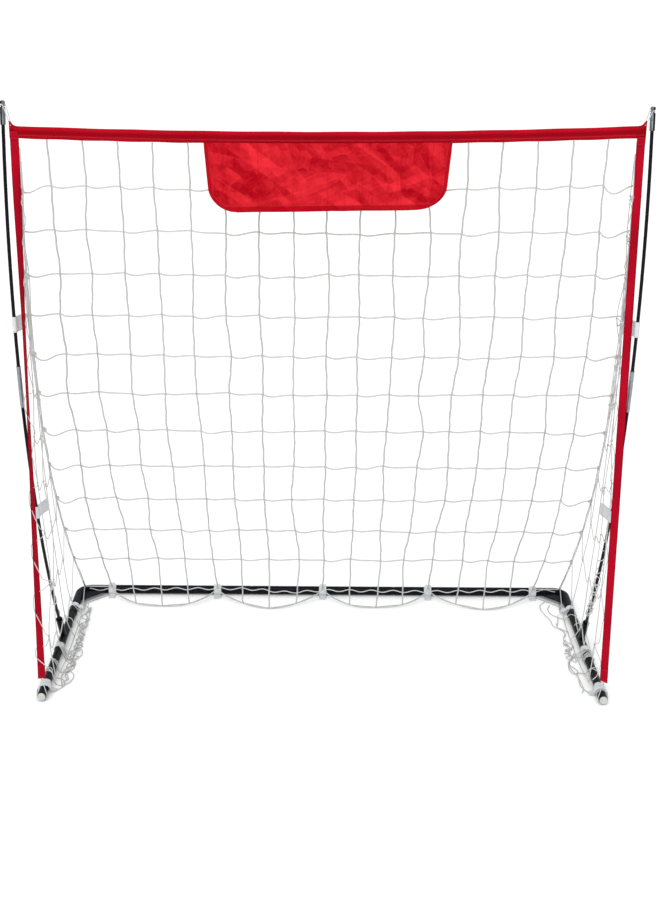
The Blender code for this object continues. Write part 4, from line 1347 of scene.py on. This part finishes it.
# %% [markdown]
# ## Hook-and-loop straps
# Short straps of fuzzy loop tape hold the net to the base and to the poles.
# Each is one band that follows a path round its tube, so the same helper makes
# them all from the path, the band's direction and its width. At each tube end
# a slanting wrap goes over the front strap and holds the webbing's foot.

# %% Band along a path
def band(name, path, across, width, thickness, stands_for=(), slant=0.0):
    """Loop tape that follows a path above the floor, its width along the across direction."""
    keep_above(path, 0.0009)
    lengths = [0.0]
    for first, second in zip(path, path[1:]):
        lengths.append(lengths[-1] + (second - first).length)
    total = lengths[-1]
    rows_of_grid = len(path) - 1

    def surface(u, v):
        index = round(v * rows_of_grid)
        ends = min(lengths[index], total - lengths[index]) / 0.006
        narrow = 1.0 - 0.22 * max(0.0, 1.0 - ends) ** 2
        ragged = 0.0006 * math.sin(index * 1.7 + u * 9)
        return path[index] + across * ((u - 0.5) * width * narrow + ragged + slant * lengths[index])

    piece = cloth_grid(name, 8, rows_of_grid, surface, width, total)
    thicken(piece, thickness)
    finish_piece(piece, loop_tape, stands_for)


def arc(centre, first_axis, second_axis, radius, start, end, steps, grow=0.0):
    """Points round a tube; the radius may grow so that a second turn lies on the first."""
    made = []
    for share in shares(steps):
        angle = math.radians(start + (end - start) * share)
        reach = radius + grow * share
        made.append(centre + (first_axis * math.cos(angle) + second_axis * math.sin(angle)) * reach)
    return made


for number, x in enumerate(STRAP_XS, 1):
    centre = at(x, BASE_DEPTH, AXIS_HEIGHT)
    radius = MAIN_RADIUS + 0.0012
    tail_top = centre - BACK * (radius + 0.0006) + UP * (0.033 + 0.002 * math.sin(number * 2.2))
    path = [tail_top, tail_top - UP * 0.008, tail_top - UP * 0.018 + BACK * 0.0006]
    path += arc(centre, -BACK, UP, radius, 0, -345, 30)
    path += arc(centre, -BACK, UP, radius + 0.0018, 5, -48, 8)
    foot = path[-1]
    path += [
        foot - BACK * 0.005 - UP * 0.0035, Vector((x, foot.y - 0.013, 0.0016)),
        Vector((x, foot.y - 0.024, 0.0013)), Vector((x, foot.y - 0.034, 0.0022)),
    ]
    band("rear_band_%d" % number, path, ACROSS, 0.027, 0.0012, ["rear_strap_%d" % number])
print("straps on the bar", len(STRAP_XS))

# %% Straps on the side tubes
for label, side in SIDES.items():
    inward = Vector((-side, 0, 0))
    for spot_name, depth in (("front", 0.085), ("middle", 0.360)):
        centre = at(side * HALF_WIDTH, depth, AXIS_HEIGHT)
        path = arc(centre, inward, UP, SIDE_RADIUS + 0.0010, 20, 385, 30)
        path += arc(centre, inward, UP, SIDE_RADIUS + 0.0027, 390, 700, 26)
        end = path[-1]
        path += [
            end + inward * 0.004 - UP * 0.006, Vector((end.x - side * 0.009, end.y, 0.0040)),
            Vector((end.x - side * 0.015, end.y, 0.0022)), Vector((end.x - side * 0.022, end.y, 0.0030)),
        ]
        band(
            "side_band_%s_%s" % (spot_name, label), path, -BACK, 0.030, 0.0011,
            ["side_strap_%s_%s" % (spot_name, label)], slant=0.03,
        )
    centre = at(side * HALF_WIDTH, BASE_DEPTH - 0.170, AXIS_HEIGHT)
    path = arc(centre, inward, UP, MAIN_RADIUS + 0.0010, 10, 380, 32, 0.0002)
    end = path[-1]
    for out, down in ((0.006, -0.001), (0.014, 0.004), (0.021, 0.011)):
        path.append(end + inward * out - UP * down)
    band("corner_band_" + label, path, -BACK, 0.025, 0.0011, ["corner_strap_" + label])
    start, end, slant = (-60, 250, 0.20) if side > 0 else (-20, 200, 0.30)
    centre = at(side * HALF_WIDTH, 0.066, AXIS_HEIGHT)
    path = arc(centre, inward, UP, SIDE_RADIUS + 0.0062, start, end, 26)
    band("foot_wrap_" + label, path, -BACK, 0.022, 0.0012, slant=slant)
print("side straps wrapped")

# %% [markdown]
# ## Straps on the poles
# Two wider bands tie the net's seam to each pole. Each goes round the pole and
# back on itself. The pole leans, but the band pulls level towards the seam, so
# its end is slanted.

# %% The pole's line
POLE_LEAN = math.radians(33.0)
POLE_BOW, POLE_STRAIGHT, POLE_RADIUS, POLE_DEPTH = 2.300, 0.125, 0.0055, 0.450
POLE_RISE = SLEEVE_HEIGHT + 0.0038 - AXIS_HEIGHT - POLE_STRAIGHT * math.cos(POLE_LEAN)
POLE_TIP_LEAN = math.asin(math.sin(POLE_LEAN) - POLE_RISE / POLE_BOW)
BOW_LENGTH = POLE_BOW * (POLE_LEAN - POLE_TIP_LEAN)
POLE_SPREAD = math.tan(math.radians(0.8))


def pole_place(side, reach):
    """The pole's point and direction: straight in its socket, bowed, then straight."""
    on_arc = clamp(reach - POLE_STRAIGHT, 0.0, BOW_LENGTH)
    lean = POLE_LEAN - on_arc / POLE_BOW
    before, after = min(reach, POLE_STRAIGHT), max(reach - POLE_STRAIGHT - BOW_LENGTH, 0.0)
    forward = before * math.sin(POLE_LEAN) + after * math.sin(lean)
    forward += POLE_BOW * (math.cos(lean) - math.cos(POLE_LEAN))
    up = before * math.cos(POLE_LEAN) + after * math.cos(lean)
    up += POLE_BOW * (math.sin(POLE_LEAN) - math.sin(lean))
    point = at(side * (HALF_WIDTH + POLE_SPREAD * up), POLE_DEPTH - forward, AXIS_HEIGHT + up)
    way = Vector((side * POLE_SPREAD * math.cos(lean), -math.sin(lean), math.cos(lean)))
    return point, way.normalized()


def halve(high, goes_on):
    """The place between 0 and high where goes_on stops being true, found by halving."""
    low = 0.0
    for _ in range(40):
        middle = (low + high) / 2
        if goes_on(middle):
            low = middle
        else:
            high = middle
    return low


def pole_reach_at(height):
    return halve(2.0, lambda reach: pole_place(1, reach)[0].z < height)


def seam_at_height(side, height):
    return seam_point(side, halve(1.0, lambda v: slope_point(v).y > height))


print("pole passes 1.25 m at", round(pole_reach_at(1.25), 3), "m along it")

# %% Pole bands
POLE_BAND_WIDTH, POLE_BAND_THICKNESS = 0.048, 0.0013


def pole_band(name, side, height, tail, stands_for):
    """Tape round the pole and back on itself, reaching to the seam or as far as its tail."""
    centre, way = pole_place(side, pole_reach_at(height))
    toward = seam_at_height(side, height) + Vector((side * 0.0082, 0, 0)) - centre
    toward -= way * way.dot(toward)
    length = toward.length - 0.003 if tail is None else tail
    if tail:
        toward += Vector((-side * 0.030, 0, 0))
    toward.normalize()
    rise = -(0.12 + toward.z) / way.z
    normal = way.cross(toward)
    radius = POLE_RADIUS + CLEAR + 0.00075
    lap = 0.0009
    near = radius * 3.2
    path = [(length + (near - length) * share, -lap) for share in shares(14)]
    for share in shares(16):
        angle = -math.radians(65 + 230 * share)
        path.append((radius * math.cos(angle), radius * math.sin(angle)))
    path += [(near + (length - near) * share, lap) for share in shares(14)]
    steps = len(path) - 1

    def surface(u, v):
        index = round(v * steps)
        along, out = path[index]
        ripple = 0.0006 * math.sin(along * 120 + u * 3) * clamp((along - 0.02) / 0.03)
        width = POLE_BAND_WIDTH * (1.0 - max(0.0, along / length - 0.9))
        return centre + toward * along + normal * (out + ripple) + way * ((u - 0.5) * width + along * rise)

    piece = cloth_grid(name, 12, steps, surface, POLE_BAND_WIDTH, 2 * length)
    thicken(piece, POLE_BAND_THICKNESS)
    finish_piece(piece, loop_tape, [stands_for])


for label, side in SIDES.items():
    pole_band("pole_band_upper_" + label, side, 1.255, None, "pole_strap_upper_" + label)
    pole_band("pole_band_lower_" + label, side, 0.605, 0.096, "pole_strap_lower_" + label)
print("pole bands done")

# %% Net cords caught round the lower poles
LOOP_CORD = 0.0015


def pole_turns(side, start, end, turns, seed):
    """One cord's course round the pole; negative turns go the other way and cross the rest."""
    own = random.Random(seed)
    phase = own.uniform(0, 6)
    course = []
    for t in shares(int(abs(turns) * 12)):
        centre, way = pole_place(side, start + (end - start) * t)
        out = (ACROSS - way * way.x).normalized()
        across = way.cross(out)
        angle = phase + 2 * math.pi * turns * t + 0.7 * math.sin(t * 13)
        reach = POLE_RADIUS + 0.0004 + LOOP_CORD + 0.0022 * (1 + math.sin(t * 23 + seed))
        course.append(centre + (out * math.cos(angle) + across * math.sin(angle)) * reach)
    return course


# Each winding: the reaches up the pole that it runs between, turns and seed.
WINDINGS = {
    "left": ((0.15, 0.30, 1.8, 22),),
    "right": ((0.16, 0.52, 6.5, 21), (0.165, 0.42, -5.5, 24), (0.17, 0.30, 3.5, 25)),
}
for label, side in SIDES.items():
    courses = [pole_turns(side, *numbers) for numbers in WINDINGS[label]]
    cords("pole_winding_" + label, courses, LOOP_CORD, white_cord, ["net_side_" + label])
print("cords round the poles")

# %% [markdown]
# ## Cord loops at the tips and the tube ends
# A white cord hitches over the neck of each pole tip and pulls the sleeve's
# corner up. An elastic loop under each tube end holds the webbing down.

# %% Tip cords
TIP_START = POLE_STRAIGHT + BOW_LENGTH + 0.0033
NECK_PLACE, NECK_RADIUS = 0.05425, 0.0042


def tip_loop(label, side):
    """Round the back of the tip's neck and forward through the sleeve's corner."""
    base, way = pole_place(side, TIP_START)
    neck = base + way * NECK_PLACE
    corner_x = side * (SLEEVE_LENGTH / 2 - 0.006)
    corner = at(corner_x, SLEEVE_DEPTH, SLEEVE_HEIGHT + 0.0193 - sleeve_drop(corner_x))
    toward = corner - neck
    forward = (toward - way * way.dot(toward)).normalized()
    across = way.cross(forward)
    ring = NECK_RADIUS + CLEAR + LOOP_CORD
    back = toward.normalized() * 0.010
    points = arc(neck, forward, across, ring, 90, 270, 8)
    points.append(neck + forward * 0.0107 - across * ring * 0.9)
    points += [corner - across * 0.0024 - back, corner - across * 0.0020]
    points += [corner + across * 0.0020, corner + across * 0.0024 - back]
    points.append(neck + forward * 0.0107 + across * ring * 0.9)
    course = smooth_run(points, 4, closed=True)
    cords(
        "tip_loop_" + label, [course], LOOP_CORD, white_cord, ["tip_cord_" + label],
        closed=True, sides=8,
    )


for label, side in SIDES.items():
    tip_loop(label, side)
print("tip cords tied")


# %% Elastic loops at the tube ends
def end_loop(label, side):
    """Under the tube's end and up to the webbing's foot."""
    ring = SIDE_RADIUS + CLEAR + LOOP_CORD
    points = arc(at(side * HALF_WIDTH, 0.016, AXIS_HEIGHT), ACROSS, UP, ring, 170, 370, 14)
    peak = strip_centre(side, 1.0) - UP * 0.0018
    points += [peak + Vector((0.0026, 0, -0.012)), peak + Vector((0.0015, 0, 0))]
    points += [peak + Vector((-0.0015, 0, 0)), peak + Vector((-0.0026, 0, -0.012))]
    course = smooth_run(points, 3, closed=True)
    keep_above(course, 0.0016)
    cords(
        "end_loop_" + label, [course], LOOP_CORD, white_cord, ["front_loop_" + label],
        closed=True, sides=8,
    )


for label, side in SIDES.items():
    end_loop(label, side)
print("loops tied")

# %% [markdown]
# ## Weld beads
# The sockets are welded to the tubes before painting. A bead is a thin torus
# pressed onto the tube, with its ripples made by moving its points in and out.

# %% Beads round the sockets
RING_POINTS = 8
for label, side in SIDES.items():
    foot, way = pole_place(side, 0.0)
    bpy.ops.object.select_all(action="DESELECT")
    bpy.ops.mesh.primitive_torus_add(
        major_segments=72, minor_segments=RING_POINTS, major_radius=0.0121, minor_radius=0.0017,
        location=foot, rotation=way.to_track_quat("Z", "Y").to_euler(),
    )
    bead = bpy.context.object
    bead.name = bead.data.name = "socket_weld_" + label
    bpy.ops.object.transform_apply(location=True, rotation=True, scale=True)
    for index, corner in enumerate(bead.data.vertices):
        spot = corner.co - foot
        along = way * spot.dot(way)
        flat = spot - along
        reach = math.sqrt(SIDE_RADIUS ** 2 - min(abs(flat.x), 0.0141) ** 2)
        rise = (reach + 0.0006 - flat.z) / way.z
        ripple = 1.0 + 0.18 * math.sin(index // RING_POINTS * 1.3)
        corner.co = foot + flat + way * (rise + spot.dot(way) * ripple)
    bpy.ops.object.shade_smooth()
    finish_piece(bead, powder_coat)
print("socket beads done")

# %% Floor
bpy.ops.object.select_all(action="DESELECT")
bpy.ops.mesh.primitive_plane_add(size=240, location=(0, 0, -0.0005))
floor = bpy.context.object
floor.name = "studio_floor"
floor_paint = Finish(
    "pale_studio_floor", (0.93, 0.93, 0.93), 0.9, Specular_IOR_Level=0.1,
    Emission_Color=(1.0, 1.0, 1.0, 1.0), Emission_Strength=0.09,
)
floor_cloud = floor_paint.noise(floor_paint.place(), 0.6, 2.0)
floor_paint.colour(floor_cloud, (0.925, 0.925, 0.925), (0.94, 0.94, 0.94))
floor.data.materials.append(floor_paint.material)
print("floor laid")
